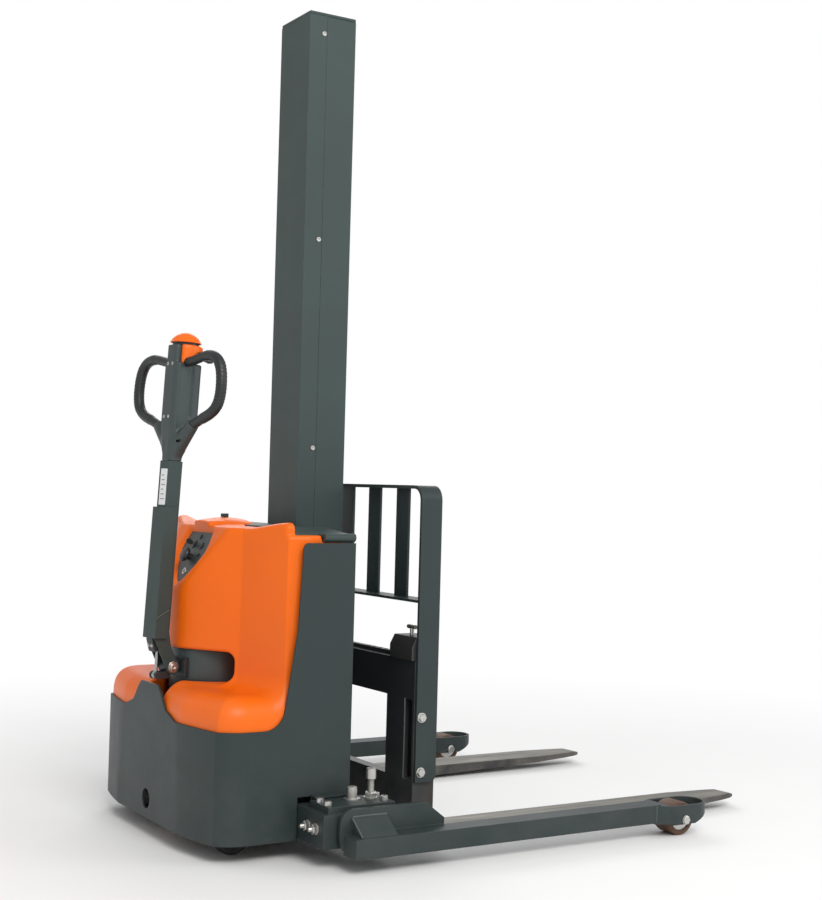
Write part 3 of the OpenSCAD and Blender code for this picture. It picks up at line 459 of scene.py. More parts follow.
def loft(rings):
    """Closed solid through rings of points in millimetres that have the same count."""
    n = len(rings[0])
    v = [Vector(q) * MM for ring in rings for q in ring]
    f = [tuple(range(n)), tuple(range(len(v) - n, len(v)))]
    for a in range(0, len(v) - n, n):
        f += [(a + k, a + (k + 1) % n, a + n + (k + 1) % n, a + n + k) for k in range(n)]
    return v, f


def rod(r, z0, z1, sides=32):
    return revolve([(r, z0), (r, z1)], sides)


def socket_screw(r, h, hexr, depth):
    """Cap screw along +Z from z = 0, with a chamfered head and a hexagon socket."""
    prof = [(r, 0), (r, h - r * 0.14), (r * 0.86, h), (hexr * 1.22, h)]
    v, f = revolve(prof, 36)
    f = f[:-1]  # drop the top cap
    base = len(v)
    for z in (h, h - depth):
        for k in range(6):
            t = math.pi / 3 * k
            v.append(Vector((hexr * math.cos(t), hexr * math.sin(t), z)) * MM)
    for k in range(6):
        j = (k + 1) % 6
        f.append((base + k, base + j, base + 6 + j, base + 6 + k))
        ring = [(6 * k + i) % 36 * 4 + 3 for i in range(7)]
        f.append(tuple([base + k] + ring + [base + j]))
    f.append(tuple(base + 6 + k for k in range(6)))
    return v, f


def hex_bolt(r, h, washer_r, washer_h):
    """Hexagon head on a washer, along +Z from z = 0."""
    w = revolve([(washer_r, 0), (washer_r, washer_h * 0.8), (washer_r * 0.96, washer_h), (r * 0.7, washer_h)], 32)
    head = loft([[(r * s * math.cos(math.pi / 3 * k), r * s * math.sin(math.pi / 3 * k), z) for k in range(6)]
                 for z, s in ((washer_h, 1.0), (washer_h + h * 0.82, 1.0), (washer_h + h, 0.90))])
    return join([w, head])


# ---- smooth solids from distance fields ----
def smin(a, b, k):
    h = np.clip(0.5 + 0.5 * (b - a) / k, 0, 1)
    return b * (1 - h) + a * h - k * h * (1 - h)


def smax(a, b, k):
    return -smin(-a, -b, k)


def sd_poly(x, y, pts):
    """Signed distance to a polygon, negative inside."""
    d = np.full(x.shape, 1e12)
    inside = np.zeros(x.shape, bool)
    n = len(pts)
    for i in range(n):
        ax, ay = pts[i]
        bx, by = pts[(i + 1) % n]
        ex, ey = bx - ax, by - ay
        t = np.clip(((x - ax) * ex + (y - ay) * ey) / (ex * ex + ey * ey), 0, 1)
        d = np.minimum(d, (x - ax - t * ex) ** 2 + (y - ay - t * ey) ** 2)
        if ay != by:
            c = ((ay > y) != (by > y)) & (x < (bx - ax) * (y - ay) / (by - ay) + ax)
            inside ^= c
    return np.where(inside, -1, 1) * np.sqrt(d)


def sd_box(x, y, z, c, h, r=0.0):
    """Signed distance to a box about c with half sizes h and edges rounded to r."""
    qx, qy, qz = abs(x - c[0]) - h[0] + r, abs(y - c[1]) - h[1] + r, abs(z - c[2]) - h[2] + r
    return (np.sqrt(np.maximum(qx, 0) ** 2 + np.maximum(qy, 0) ** 2 + np.maximum(qz, 0) ** 2)
            + np.minimum(np.maximum(qx, np.maximum(qy, qz)), 0) - r)


def grid(lo, hi, h):
    ax = [np.arange(lo[i], hi[i] + h, h) for i in range(3)]
    return np.meshgrid(*ax, indexing="ij")


def nets(f, lo, h):
    """Surface nets: vertices and quads of the zero level of f."""
    f = np.where(np.abs(f) < 1e-6, 1e-6, f)
    s = f < 0
    shape = tuple(n - 1 for n in f.shape)
    acc, cnt = np.zeros(shape + (3,)), np.zeros(shape)
    cross = []
    for a in range(3):
        lo_s, hi_s = [slice(None)] * 3, [slice(None)] * 3
        lo_s[a], hi_s[a] = slice(0, -1), slice(1, None)
        fa, fb = f[tuple(lo_s)], f[tuple(hi_s)]
        c = (fa < 0) != (fb < 0)
        cross.append(c)
        t = np.where(c, fa / np.where(c, fa - fb, 1), 0)
        idx = np.indices(fa.shape)
        pos = [idx[i] + (t if i == a else 0) for i in range(3)]
        others = [i for i in range(3) if i != a]
        for o1 in (0, 1):
            for o2 in (0, 1):
                sl = [slice(None)] * 3
                for ax, o in zip(others, (o1, o2)):
                    sl[ax] = slice(0, -1) if o == 0 else slice(1, None)
                sl = tuple(sl)
                crossed = c[sl]
                cnt += crossed
                for i in range(3):
                    acc[..., i] += np.where(crossed, pos[i][sl], 0)
    used = cnt > 0
    index = -np.ones(shape, int)
    index[used] = np.arange(used.sum())
    verts = acc[used] / cnt[used][:, None] * h + np.array(lo)
    quads = []
    for a in range(3):
        b, c_ = (a + 1) % 3, (a + 2) % 3
        ok = cross[a].copy()
        for ax in (b, c_):
            sl = [slice(None)] * 3
            sl[ax] = slice(0, 1)
            ok[tuple(sl)] = False
            sl[ax] = slice(-1, None)
            ok[tuple(sl)] = False
        ijk = np.array(np.nonzero(ok))
        if not ijk.size:
            continue
        cells = []
        for step_b, step_c in ((-1, -1), (0, -1), (0, 0), (-1, 0)):
            q = ijk.copy()
            q[b] += step_b
            q[c_] += step_c
            cells.append(index[q[0], q[1], q[2]])
        quad = np.stack(cells, 1)
        ins = s[ijk[0], ijk[1], ijk[2]]
        quads.append(np.where(ins[:, None], quad, quad[:, ::-1]))
    return verts, np.concatenate(quads)


def net_object(name, f, lo, h, slot, body, node, matrix=MAST, keep=None, thick=0.0, relax=2, smooth=60):
    """Mesh of a field given in millimetres; keep(centres) says which faces stay."""
    v, q = nets(f, lo, h)
    if keep is not None:
        q = q[keep(v[q].mean(1))]
        used = np.unique(q)
        new = -np.ones(len(v), int)
        new[used] = np.arange(len(used))
        v, q = v[used], new[q]
    me = bpy.data.meshes.new(name)
    me.from_pydata((v * MM).tolist(), [], q.tolist())
    me.transform(matrix)
    ob = bpy.data.objects.new(name, me)
    bpy.context.scene.collection.objects.link(ob)
    sm = ob.modifiers.new("relax", "SMOOTH")
    sm.iterations = relax
    sm.factor = 0.5
    if thick:
        so = ob.modifiers.new("skin", "SOLIDIFY")
        so.thickness = thick
        so.offset = -1
    shade(ob, smooth)
    me.materials.append(MAT[slot])
    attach(ob, body)
    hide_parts(node)


def arc(cx, cy, r, a0, a1, n):
    return [(cx + r * math.cos(math.radians(a0 + (a1 - a0) * i / n)),
             cy + r * math.sin(math.radians(a0 + (a1 - a0) * i / n))) for i in range(n + 1)]


# ---------------------------------------------------------------- tower cover
def skirt_field(x, y, inset):
    """Plan of the skirt's inside: bowed back, round corners."""
    cr = 95 - inset
    qx, qy = abs(x + 115) - (215 - inset) + cr, abs(y) - (350 - inset) + cr
    box = np.sqrt(np.maximum(qx, 0) ** 2 + np.maximum(qy, 0) ** 2) + np.minimum(np.maximum(qx, qy), 0) - cr
    return np.maximum(box, np.sqrt((x + 341 - BOW) ** 2 + y ** 2) - (BOW - inset))


def tower_outline():
    half = [(-187, 180), (-141, 320), (-95, 334), (-64, 336), (40, 336)]
    return arc(-169, 0, 112, 212.5, 147.5, 24) + half + [(x, -y) for x, y in reversed(half)]


def build_tower():
    lo, hi, h = (-344, -352, 271), (12, 352, 748), 2.7
    X, Y, Z = (a.astype(np.float32) for a in grid(lo, hi, h))
    x2, y2 = X[:, :, 0], Y[:, :, 0]
    T = sd_poly(x2, y2, tower_outline())[:, :, None]
    S = skirt_field(x2, y2, 6.0)[:, :, None]
    rise = np.clip((abs(Y) - 175) / 135, 0, 1)
    top = 718.5 + 16 * rise * rise * (3 - 2 * rise)
    body = smax(smax(T, abs(Y) - 316, 9), Z - top, 17)
    # the front strip lies lower and is covered by the grey cap
    body = smax(body, smin(X + 122, Z - 706, 3), 7)
    tower = smin(body, smax(T, Z - 707, 11), 2)
    # slanted face, with a kite-shaped window in a chamfered frame
    U = (X + 246) * 0.4472 + (Z - 640) * 0.8944
    W = (X + 246) * -0.8944 + (Z - 640) * 0.4472
    tower = smax(tower, W, 7)
    shelf = smax(S, Z - 355, 62)
    f = smin(tower, shelf, 46)
    # finger ridge with its lip over the window
    lip = sd_box(X, Y, Z, (-194, 0, 720), (20, 44, 8.5), 8)
    q = np.sqrt(((X + 150) / 78) ** 2 + (Y / 54) ** 2 + ((Z - 712) / 25) ** 2)
    f = smin(f, smin(lip, (q - 1) * 25, 7), 6)
    kite = [(-62, 0), (-46, 25), (-11, 54), (22, 73), (40, 73), (72, 64)]
    near = (W > -30) & (W < 30)
    win = np.full(X.shape, 99.0, np.float32)
    win[near] = sd_poly(U[near], Y[near], kite + [(u, -v) for u, v in kite[:0:-1]])
    f = smax(f, -smax(win, -(W + 11), 2), 3)
    f = smax(f, -smax((win - 9 - W) * 0.707, -(W + 9), 2), 3)
    # pocket for the turning motor cover
    R = np.sqrt((X + 169) ** 2 + Y ** 2)
    pk = sd_poly(x2, y2, [(-380, -175), (-188, -172), (-150, -108), (-150, 108), (-188, 172), (-380, 175)])[:, :, None]
    rr = sd_box(X * 0, Y, Z, (0, 0, 397), (10, 172, 41.5), 27)
    pocket = smax(np.minimum(pk, R - 114), rr, 4)
    f = smax(f, -pocket, 7)
    # well of the steered unit and the way out at the back
    f = np.where(Z < 372, smax(f, -(R - 112), 7), f)
    slot_ = smax(smax(abs(Y) - 55, X + 169, 3), Z - 372, 3)
    f = smax(f, -slot_, 7)
    f = np.maximum(np.maximum(f, S), X + 9.0)
    f = np.maximum(f, -np.maximum(-(X + 64.6), -(Z - 692.6)))
    f = np.maximum(f, 277.5 - Z)

    def keep(c):
        low = c[:, 2] < 279.5
        front = (c[:, 0] > -10.6) | ((c[:, 0] > -66.4) & (c[:, 2] > 694))
        return ~(low | front)
    net_object("tower_cover_skin", f, lo, h, "cover_orange", "chassis", "tower_cover", keep=keep,
               thick=0.0034, relax=3, smooth=70)


build_tower()

# rear lip of the top cap, which overlaps the lowered front strip of the cover
sec = [(-316, 704), (-316, 709.5), (-314.5, 711), (-200, 722), (200, 722), (314.5, 711), (316, 709.5), (316, 704)]
edge = [(y, z - (1.5 if z > 705 else 0)) for y, z in sec]
lip = loft([[(x, y, z) for y, z in ring] for x, ring in ((-121, edge), (-118.5, sec), (-63, sec))])
link("cap_rear_lip", lip, "frame_paint", "chassis", 30, matrix=MAST)


# ---------------------------------------------------------------- tiller head
def build_head():
    lo, hi, h = (-68, -92, 464), (20, 92, 752), 2.0
    X, Y, Z = (a.astype(np.float32) for a in grid(lo, hi, h))
    AY = abs(Y)
    t = np.clip((Z - 500) / 60, 0, 1)
    t = t * t * (3 - 2 * t)
    cx, hx, hy = -36 + 12 * t, 19.6 + 16.4 * t, 20 + 9.5 * t
    q = smax(AY - hy, abs(X - cx) - hx, 2.5)
    q = smax(q, (AY + cx - X - hy - hx + 8.5) * 0.707, 1.6)
    q = smax(q, (AY + X - cx - hy - hx + 7) * 0.707, 4)
    body = smax(smax(q, Z - 704, 3), 473 - Z, 3)
    # spine that runs on up behind the guard, and the core inside the guard
    sp = smax(smax(AY - 21, abs(X + 51) - 9, 2), (AY - X - 21 - 60 + 6) * 0.707, 1.5)
    body = smin(body, smax(smax(sp, Z - 746, 3), 690 - Z, 1), 2)
    core = np.maximum(np.sqrt((X + 22) ** 2 + Y ** 2) - 28, abs(Z - 718) - 25)
    body = np.minimum(body, core)
    # flares down to the loops' lower ends
    ax, ay, az = -32.0, 14.0, 508.0
    bx, by, bz = -32.0, 73.0, 561.0
    ex, ey, ez = bx - ax, by - ay, bz - az
    tt = np.clip(((X - ax) * ex + (AY - ay) * ey + (Z - az) * ez) / (ex * ex + ey * ey + ez * ez), 0, 1)
    ox, oy, oz = X - ax - tt * ex, AY - ay - tt * ey, Z - az - tt * ez
    d = np.sqrt(ox ** 2 + oy ** 2 + oz ** 2) - (20 - 5.5 * tt)
    d = smax(d, ((AY - by) * ey + (Z - bz) * ez) / 79.3, 2)
    d = smax(d, Z - 572, 4)
    f = smin(body, d, 13)
    # seam along the side faces, hollow panel in the rear face
    f = smax(f, -sd_box(X, Y, Z, (-15, 0, 640), (1.1, 60, 60), 0.3), 0.8)
    f = np.where((AY < 27.5) & (abs(X + 15) < 5) & (Z > 575) & (Z < 702), np.minimum(f, AY - 27.5), f)
    # bore of the arm and seats of the controls on the front face
    f = smax(f, -sd_box(X, Y, Z, (-36, 0, 440), (18.5, 19, 35), 1), 1)
    f = smax(f, -(np.maximum(np.sqrt((X - 8) ** 2 + (Z - 655) ** 2) - 9.4, AY - 9.6)), 1.5)
    f = smax(f, -(np.maximum(np.sqrt(Y ** 2 + (Z - 620) ** 2) - 9.0, 1 - X)), 1.5)
    f = smax(f, -(np.sqrt((X + 6) ** 2 + (Z - 724) ** 2) - 5.3), 1)
    # two drain holes beside the spine
    f = smax(f, -np.maximum(np.sqrt((X + 46) ** 2 + (Z - 521) ** 2) - 3.4, 17 - AY), 0.8)
    net_object("head_shell", f, lo, h, "dark_plastic", "tiller", "head_body", matrix=TILLER, relax=1, smooth=38)
    # guard around the top of the head
    lo, hi, h = (-52, -44, 694), (26, 44, 756), 1.6
    X, Y, Z = (a.astype(np.float32) for a in grid(lo, hi, h))
    AY = abs(Y)
    g = smax(smax(np.sqrt(((X + 20) / 1.04) ** 2 + Y ** 2) - 38, abs(Z - 724.7) - 22.7, 7), -(X + 46), 4)
    low = (Z - 700) - 15 * np.clip((X + 12) / 24, 0, 1)
    g = smax(g, -low, 6)
    g = smax(g, -np.maximum(np.sqrt((X + 22) ** 2 + Y ** 2) - 28.5, Z - 744), 2)
    g = smax(g, -np.maximum(np.maximum(AY - 21.4, X + 41.5), 690 - Z), 1.5)
    g = smax(g, -(np.sqrt((X + 6) ** 2 + (Z - 724) ** 2) - 5.3), 1)
    net_object("guard_shell", g, lo, h, "button_orange", "tiller", "head_guard", matrix=TILLER)


build_head()

# grip loops: tube with a soft sleeve along the outer run
LOOP_X = -32
LOOP = [(30, 706), (50, 708), (72, 712), (96, 716.5), (122, 717.5), (146, 711), (163, 696), (172, 674), (175, 648),
        (173.5, 625), (167, 606), (154, 592), (136, 582), (116, 575), (96, 568), (70, 558)]
TUBE_R, SLEEVE = 11.2, 1.2
for sg, nm in SIDES:
    pts = smooth_path([(LOOP_X, sg * y, s) for y, s in LOOP], 6)
    rad = []
    for q in pts:
        k = min(1, max(0, (abs(q.y) - 100) / 12))
        rad.append(TUBE_R + SLEEVE * k * k * (3 - 2 * k))
    tube = sweep([q * MM for q in pts], [r * MM for r in rad], 24)
    link("grip_" + nm, tube, "grip_rubber", "tiller", 60, matrix=TILLER, node="handle_grips")
    # raised ribs on the sleeve's outer side
    ribs = []
    for i in range(0, len(pts), 2):
        if abs(pts[i].y) > 158 and 600 < pts[i].z < 700:
            v, f = revolve([(12.2, -1.3), (12.9, -0.8), (12.9, 0.8), (12.2, 1.3)], 24)
            ribs.append(placed((v, f[:-2]), pts[i] * MM, (pts[i + 1] - pts[i - 1]).normalized()))
    link("grip_ribs_" + nm, join(ribs), "grip_rubber", "tiller", 60, matrix=TILLER)

# safety button: a dome with a skirt and a parting line
prof = [(0, 778)] + [(39 * math.sin(math.radians(a)), 739 + 39 * math.cos(math.radians(a))) for a in range(6, 69, 6)]
prof += [(36.9, 754.4), (36.7, 753.2), (35.6, 752.5), (33, 752.5), (33, 755), (0, 755)]
link("safety_dome", revolve(prof, 64), "button_orange", "safety_button", 50,
     matrix=TILLER @ Matrix.Translation(DOME), node="belly_button")
# collar below the dome, which slides in the guard
prof = [(20, 738), (30.5, 738), (30.5, 754), (29.5, 754.8), (20, 754.8)]
link("safety_collar", revolve(prof, 48, True), "button_black", "safety_button", 40,
     matrix=TILLER @ Matrix.Translation(DOME))

# screws in the head's rear face
screws = [placed(socket_screw(3.8, 1.4, 1.8, 0.9), Vector((-59.9, y, s)) * MM, (-1, 0, 0))
          for y in (-9.5, 9.5) for s in (577, 701)]
link("head_screws", join(screws), "zinc", "tiller", 30, matrix=TILLER)

# speed control: two butterfly wings on one shaft
WING_MID = (4, 720)
out = arc(-6, 724, 9, 70, 250, 10) + arc(18, 714, 6, 250, 430, 8)
parts = [placed(rod(5, -46, 46, 24), Vector((-6, 0, 724)) * MM, (0, 1, 0))]
for sg, _ in SIDES:
    parts.append(loft([[(WING_MID[0] + (a - WING_MID[0]) * k, sg * y, WING_MID[1] + (b - WING_MID[1]) * k)
                        for a, b in out] for y, k in ((38.5, 0.86), (40, 1), (51.5, 1), (53.5, 0.86))]))
link("speed_wings", join(parts), "button_black", "speed_control", 35, matrix=TILLER, node="throttle")

# lift rocker and horn button on the head's front face
ROCK = (8, 655)
out = arc(*ROCK, 8.8, 60, 300, 16) + [(15, 648), (19, 652.6), (20, 655), (19, 657.4), (15, 662)]
rocker = loft([[(ROCK[0] + (a - ROCK[0]) * k, y, ROCK[1] + (b - ROCK[1]) * k) for a, b in out]
               for y, k in ((-8.9, 0.9), (-8, 1), (8, 1), (8.9, 0.9))])
link("rocker_cap", rocker, "button_black", "lift_control", 40, matrix=TILLER, node="lift_rocker")
prof = [(8.4, 7.8), (8.4, 12.6), (7.9, 13.8), (6.6, 14.4), (4, 14.1), (0, 13.9)]
link("horn_cap", revolve(prof, 40), "button_black", "horn", 40,
     matrix=TILLER @ axis_matrix((0, 0, 0.620), (1, 0, 0)), node="horn_button")

# ---------------------------------------------------------------- motor cover, drive wheel, wheels
prof = [(66, 284), (102, 284), (104, 286), (104, 432), (102.6, 435.2), (100, 436), (30, 436), (28, 434.5), (0, 434.5)]
link("motor_drum", revolve(prof, 96), "dark_plastic", "steer_head", 50, matrix=STEER, node="motor_cover")

prof = [(20, -35), (22, -36.2), (58, -36.2), (60, -30), (86, -30), (88, -35), (96, -35), (100, -31), (100, 31),
        (96, 35), (60, 35), (58, 38), (20, 41.5), (0, 41.5)]
link("drive_tyre", revolve(prof, 72), "drive_tread", "drive_roller", 40,
     matrix=STEER @ axis_matrix((0, 0, 0.1), (0, 1, 0)), node="drive_wheel")


def mirrored(half):
    """Closed wheel section from its lower half."""
    return half + [(r, -z) for r, z in reversed(half)]


LOAD_TREAD = mirrored([(27, -26), (29, -28.8), (35.5, -29), (38.5, -27.6), (39.9, -24)])
LOAD_HUB = mirrored([(8.1, -29.0), (12, -29.0), (13, -27.5), (24, -27.0), (27.2, -26.4)])
CASTER_TREAD = mirrored([(24, -13), (30, -15.6), (35, -16), (38.6, -13.5), (40, -9)])
CASTER_HUB = mirrored([(5.1, -16), (9, -16), (10, -12), (24.2, -11)])
for sg, nm in SIDES:
    c = at(822, sg * 515.5, 40)
    m = axis_matrix(c, (0, 1, 0))
    link("load_tread_" + nm, revolve(LOAD_TREAD, 64, True), "load_tread", "load_roller_" + nm, 40, matrix=m,
         node="load_wheel_" + nm)
    link("load_hub_" + nm, revolve(LOAD_HUB, 48, True), "zinc", "load_roller_" + nm, 40, matrix=m)
    axle = [placed(rod(8, -47, 47), c, (0, 1, 0))]
    axle += [placed(hex_bolt(10.5, 3.6, 11, 1.2), c + Vector((0, e * 0.047, 0)), (0, e, 0)) for e in (1, -1)]
    link("load_axle_bolt_" + nm, join(axle), "zinc", "outrigger_" + nm, 30, node="load_axle_" + nm)
    m = axis_matrix(at(-227, sg * 247, 40), (0, 1, 0))
    link("caster_tread_" + nm, revolve(CASTER_TREAD, 56, True), "caster_tread", "caster_roller_" + nm, 40, matrix=m,
         node="caster_wheel_" + nm)
    link("caster_hub_" + nm, revolve(CASTER_HUB, 40, True), "unit_grey", "caster_roller_" + nm, 40, matrix=m)

# ---------------------------------------------------------------- fasteners
CLAMP_TOP = 132
UP, BACK = (0, 0, 1), (-1, 0, 0)
parts = []
for sg, _ in SIDES:
    parts += [placed(socket_screw(8.6, 9.6, 4.2, 5), at(x, sg * y, CLAMP_TOP + 0.3), UP)
              for x in (-90, 50) for y in (404, 440)]
    washer = revolve([(19, 0), (19, 2.6), (18.4, 3), (11, 3)], 40)
    parts.append(placed(washer, at(-12, sg * 405, CLAMP_TOP), UP))
    parts.append(placed(socket_screw(12, 24.6, 6.6, 9), at(-12, sg * 405, CLAMP_TOP + 3), UP))
    # tall clamping screw: nut, threaded shank, head
    parts.append(placed(hex_bolt(14, 11, 17, 2), at(36, sg * 405, CLAMP_TOP), UP))
    thread = [(r, 144 + i * 2 + dz) for i in range(15) for r, dz in ((7.9, 0), (6.9, 1))] + [(7.9, 174)]
    parts.append(placed(revolve(thread, 28), at(36, sg * 405, 0), UP))
    parts.append(placed(socket_screw(11.4, 22.6, 6, 9), at(36, sg * 405, 174), UP))
    for y in (398, 436):
        parts.append(placed(hex_bolt(11, 9, 12.6, 2), at(-115, sg * y, 84), BACK))
        parts.append(placed(revolve([(5, 0), (5, 17), (4, 19)], 24), at(-116, sg * y, 84), BACK))
link("clamp_screws", join(parts), "zinc", "chassis", 30, node="clamp_bolts")

# backrest bolts
parts = []
for sg, _ in SIDES:
    for z in (173, 297):
        parts.append(placed(rod(6, -26, 0, 24), at(174, sg * 390, z), (0, sg, 0)))
        parts.append(placed(hex_bolt(9.6, 5.6, 11.5, 1.4), at(174, sg * 390, z), (0, sg, 0)))
link("backrest_screws", join(parts), "zinc", "carriage", 30, node="backrest_bolts")

# mast screws
parts = [placed(socket_screw(6, 2.8, 2.9, 1.8), at(39, sg * 77, z), (0, sg, 0))
         for sg, _ in SIDES for z in (909, 1415, 1918)]
link("mast_screw_heads", join(parts), "zinc", "chassis", 30, node="mast_screws")

# pivot bolt of the tiller
parts = [placed(rod(8, -19, 19), (0, 0, 0), (0, 1, 0))]
for sg, _ in SIDES:
    washer = revolve([(13, 0), (13, 1.4), (12.4, 1.8), (6, 1.8)], 32)
    parts.append(placed(washer, (0, sg * 0.019, 0), (0, sg, 0)))
    parts.append(placed(socket_screw(8.6, 4.2, 4, 3), (0, sg * 0.0208, 0), (0, sg, 0)))
link("pivot_bolt", join(parts), "zinc", "tiller", 30, matrix=TILLER, node="tiller_pin")

# bracket of the gas spring under the cover, with two small bolts
out = [(-58, 68), (-58, 60), (-50, 36), (-46, 33), (-41, 36), (-41, 68)]
bracket = loft([[(a, y, b) for a, b in out] for y in (-13, 13)])
link("spring_bracket", bracket, "button_black", "tiller", 30, bevel=0.0012, matrix=TILLER)
parts = [placed(hex_bolt(3.4, 2, 4.2, 0.6), Vector((-54.0, y, 48)) * MM, (-0.95, 0, -0.3)) for y in (-7, 7)]
link("bracket_bolts", join(parts), "zinc", "tiller", 30, matrix=TILLER)


# blank label on the arm's rear face
def plate(z, y, w, hgt, t, r):
    """Thin plate with round corners, facing -X."""
    out = [(a + dx, b + dz) for (dx, dz, a0) in ((w / 2 - r, hgt / 2 - r, 0), (r - w / 2, hgt / 2 - r, 90),
                                                 (r - w / 2, r - hgt / 2, 180), (w / 2 - r, r - hgt / 2, 270))
           for a, b in arc(0, 0, r, a0, a0 + 90, 4)]
    return loft([[(d, a + y, b + z) for a, b in out] for d in (0, -t)])


link("arm_label", plate(0, 0, 27, 84, 0.5, 2), "frame_paint", "tiller", 40, mat=LABEL,
     matrix=TILLER @ Matrix.Translation((-0.0545, -0.002, 0.414)))
# ruled lines on the label, no lettering
rules = [plate(-30 + i * 11, (i % 3) * 1.5, 16 - (i % 3) * 3, 2.0, 0.2, 0.5) for i in range(6)]
link("arm_label_rules", join(rules), "frame_paint", "tiller", 40, mat=TRIM,
     matrix=TILLER @ Matrix.Translation((-0.0550, -0.002, 0.416)))


# weld beads
def bead(points, r, name, body, matrix=MAST):
    pts = smooth_path(points, 14)
    rad = [r * (0.82 + 0.28 * abs(math.sin(i * 1.25))) for i in range(len(pts))]
    tube = sweep([p * MM for p in pts], [q * MM for q in rad], 10)
    link(name, tube, "frame_paint", body, 60, mat=WELD, matrix=matrix)


for sg, nm in SIDES:
    bead([(-58.5, sg * 26, 112), (-44, sg * 26.2, 121), (-28, sg * 26, 131)], 1.3, "foot_weld_" + nm, "tiller", TILLER)
    bead([(-55, sg * 488.5, 114), (-15, sg * 488.5, 114.5), (29, sg * 488.5, 114)],
         2.2, "gusset_weld_" + nm, "outrigger_" + nm)
    bead([(-56.5, sg * 489, 112), (-56.5, sg * 512, 96), (-56.5, sg * 536, 79)],
         2.0, "gusset_end_weld_" + nm, "outrigger_" + nm)
    bead([(35, sg * 488.5, 79), (90, sg * 488.5, 79), (176, sg * 488.5, 79)], 2.0, "rail_weld_" + nm, "outrigger_" + nm)
    bead([(746, sg * 543.5, 36), (746, sg * 543.8, 55), (746, sg * 543.5, 75)],
         1.6, "band_weld_" + nm, "outrigger_" + nm)
    bead([(158, sg * 341, 336), (158.5, sg * 341, 250), (158, sg * 341, 153)], 2.0, "upright_weld_" + nm, "carriage")
    bead([(161, sg * 381, 562), (190, sg * 381.5, 562), (214, sg * 381, 562)], 1.8, "backrest_weld_" + nm, "carriage")

# ---------------------------------------------------------------- controls on the panel
def on_panel(u, v):
    return PANEL @ Matrix.Translation((u * MM, v * MM, 0))


prof = [(8.4, -30), (8.4, -1), (12, 0), (16, 2), (17.4, 5), (17.4, 9), (16, 11.4), (12, 12.6), (0, 13)]
link("stop_knob", revolve(prof, 48), "button_black", "stop_button", 40, matrix=on_panel(6, 4), node="emergency_stop")
barrel = revolve([(8.4, -22), (8.4, -9), (10.5, -8.8), (10.5, -7), (9, -6), (0, -6)], 36)
out = arc(0, 6, 6.5, 0, 180, 10) + [(-4, -6), (4, -6)]
blade = loft([[(a, y, b + 2) for a, b in out] for y in (-1.2, 1.2)])
link("key_with_switch", join([barrel, blade]), "button_black", "key", 40, matrix=on_panel(40, 17), node="key_switch")
prof = [(4, -18), (4, -8.0), (6.4, -7.6), (8.4, -7.8), (8.6, -9.0), (6.4, -9.2), (6.4, -24), (0, -24)]
link("socket_ring", revolve(prof, 40), "zinc", "chassis", 40, matrix=on_panel(-30, 0), node="charge_socket")
# small indicators beside the switches
for i, (u, w, r) in enumerate(((38, -28, 9), (14, -34, 5), (60, 0, 6), (8, 36, 5))):
    button = revolve([(r, -9.2), (r, -7.4), (r - 1, -6.6), (r * 0.5, -6.2), (0, -6.0)], 32)
    link("indicator_%d" % i, button, "button_black", "chassis", 40, matrix=on_panel(u, w))

# knob on the cover
base = revolve([(9, 737.3), (9.4, 738.2), (9.4, 740.4), (8.6, 741.2), (0, 741.4)], 40)
out = arc(7, 0, 3, -90, 90, 8) + arc(-7, 0, 3, 90, 270, 8)
wing = loft([[(a * k, b * k, z) for a, b in out] for z, k in ((741, 1.0), (745, 1.0), (746, 0.85))])
link("cover_latch", join([base, wing]), "button_black", "knob", 40,
     matrix=MAST @ Matrix.Translation((-0.152, 0, 0)), node="cover_knob")

# ---------------------------------------------------------------- CAD nodes that keep their shape
# the skirt, chassis, clamps, legs and backrest take the darkened green, which is painted shade
for node, slot, width in (
        ("chassis_frame", "shaded_green_paint", 0.0015), ("skirt_shell", "shaded_green_paint", 0.0014),
        ("top_cap", "frame_paint", 0.002), ("control_panel", "dark_plastic", 0.0006),
        ("batteries", "battery_case", 0.004), ("hydraulic_unit", "unit_grey", 0.003),
        ("power_electronics", "heatsink", 0.001), ("lift_cylinder", "unit_grey", 0.001),
        ("mast_profile", "frame_paint", 0.0012), ("mast_rear_cover", "frame_paint", 0.0007),
        ("mast_cap", "frame_paint", 0.0025), ("steer_bearing", "zinc", 0.001),
        ("leg_clamps", "shaded_green_paint", 0.0018), ("drive_housing", "drive_iron", 0.003),
        ("drive_motor", "drive_iron", 0.002), ("tiller_yoke", "carriage_paint", 0.0012),
        ("tiller_arm", "frame_paint", 0.0016), ("tiller_cover", "frame_paint", 0.0012),
        ("gas_spring_rod", "chrome_rod", 0.0005), ("gas_spring_tube", "button_black", 0.0008),
        ("caster_fork_left", "zinc", 0.0007), ("caster_fork_right", "zinc", 0.0007),
        ("leg_left", "shaded_green_paint", 0.0016), ("leg_right", "shaded_green_paint", 0.0016),
        ("carriage_frame", "carriage_paint", 0.0014), ("backrest", "shaded_green_paint", 0.0012),
        ("carriage_rollers_upper", "zinc", 0.001), ("carriage_rollers_lower", "zinc", 0.001),
        ("fork_left", "fork_paint", 0.0024), ("fork_right", "fork_paint", 0.0024),
        ("fork_pin_left", "zinc", 0.0008), ("fork_pin_right", "zinc", 0.0008),
        ("cylinder_rod", "chrome_rod", 0.0008), ("chain_sheave", "zinc", 0.0008),
        ("chain_front", "chain_steel", 0.0008), ("chain_rear", "chain_steel", 0.0008)):
    dress(node, slot, width, node.startswith("mast_"))

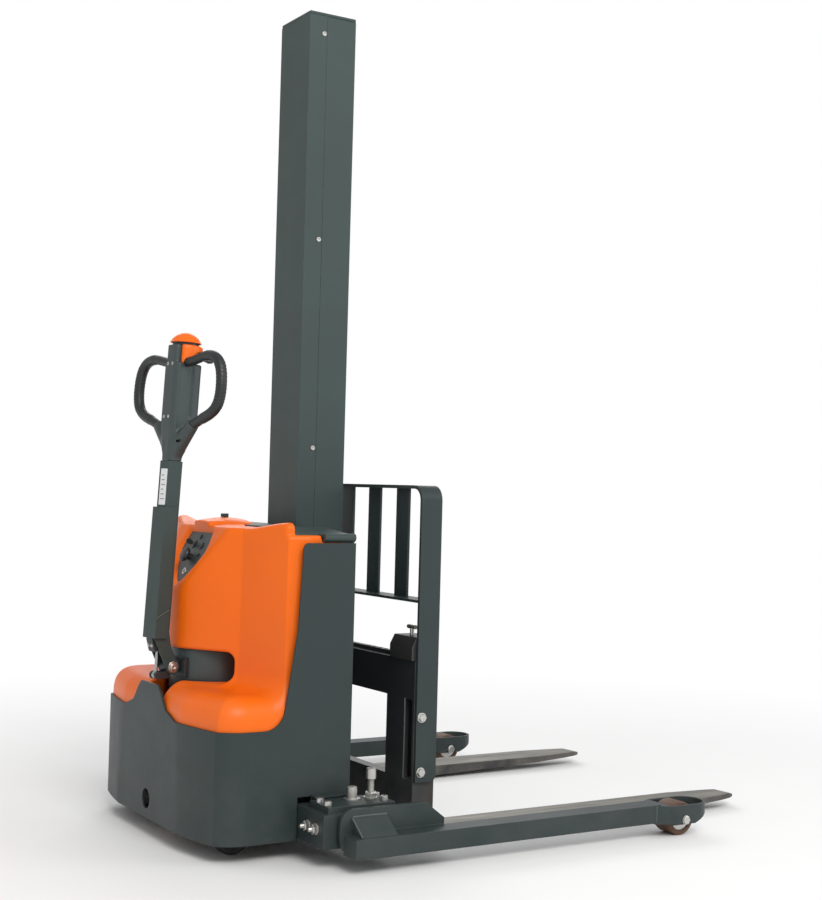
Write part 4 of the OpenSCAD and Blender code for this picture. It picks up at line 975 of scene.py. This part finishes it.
# ---------------------------------------------------------------- stage
bpy.context.scene.view_settings.view_transform = "Standard"
fl = bpy.data.meshes.new("floor")
fl.from_pydata([(-30, -30, 0), (30, -30, 0), (30, 30, 0), (-30, 30, 0)], [], [(0, 1, 2, 3)])
floor = bpy.data.objects.new("floor", fl)
bpy.context.scene.collection.objects.link(floor)
mt, nt, bs = new_mat("floor_pale")
c = mix(nt, ramp(nt, noise(nt, 0.7, 4, 0.6), 0.3, 0.7), (0.80, 0.80, 0.80), (0.84, 0.84, 0.84))
nt.links.new(c, bs.inputs["Base Color"])
bs.inputs["Roughness"].default_value = 0.8
tc = nt.nodes.new("ShaderNodeTexCoord")
ln = nt.nodes.new("ShaderNodeVectorMath")
ln.operation = "LENGTH"
nt.links.new(tc.outputs["Object"], ln.inputs[0])
far = nt.nodes.new("ShaderNodeMapRange")
far.interpolation_type = "SMOOTHSTEP"
far.inputs["From Min"].default_value = 0.9
far.inputs["From Max"].default_value = 3.0
nt.links.new(ln.outputs["Value"], far.inputs[0])
em = nt.nodes.new("ShaderNodeEmission")
em.inputs[0].default_value = (1, 1, 1, 1)
em.inputs[1].default_value = 1.0
mx = nt.nodes.new("ShaderNodeMixShader")
nt.links.new(far.outputs[0], mx.inputs[0])
nt.links.new(bs.outputs[0], mx.inputs[1])
nt.links.new(em.outputs[0], mx.inputs[2])
nt.links.new(mx.outputs[0], [n for n in nt.nodes if n.type == "OUTPUT_MATERIAL"][0].inputs[0])
fl.materials.append(mt)

world = bpy.data.worlds.new("studio")
bpy.context.scene.world = world
world.use_nodes = True
wn = world.node_tree
bg = wn.nodes["Background"]
lp = wn.nodes.new("ShaderNodeLightPath")
bg.inputs[0].default_value = (1, 1, 1, 1)
mr = wn.nodes.new("ShaderNodeMapRange")
mr.inputs["To Min"].default_value = 0.66
mr.inputs["To Max"].default_value = 1.0
wn.links.new(lp.outputs["Is Camera Ray"], mr.inputs[0])
wn.links.new(mr.outputs[0], bg.inputs[1])


def area(name, loc, target, size, power, col=(1, 1, 1)):
    l = bpy.data.lights.new(name, "AREA")
    l.shape = "RECTANGLE"
    l.size, l.size_y = size
    l.energy = power
    l.color = col
    o = bpy.data.objects.new(name, l)
    bpy.context.scene.collection.objects.link(o)
    o.location = loc
    o.rotation_mode = "QUATERNION"
    o.rotation_quaternion = (Vector(target) - Vector(loc)).to_track_quat("-Z", "Y")


area("key", (-1.2, -4.6, 4.2), (0, 0, 0.7), (3.0, 2.2), 200, (1, 0.985, 0.96))
area("fill", (3.8, -3.2, 2.6), (0, 0, 0.6), (2.6, 2.6), 55, (0.95, 0.98, 1))
area("back", (1.5, 4.5, 3.6), (0, 0, 0.8), (3.5, 2.0), 70)
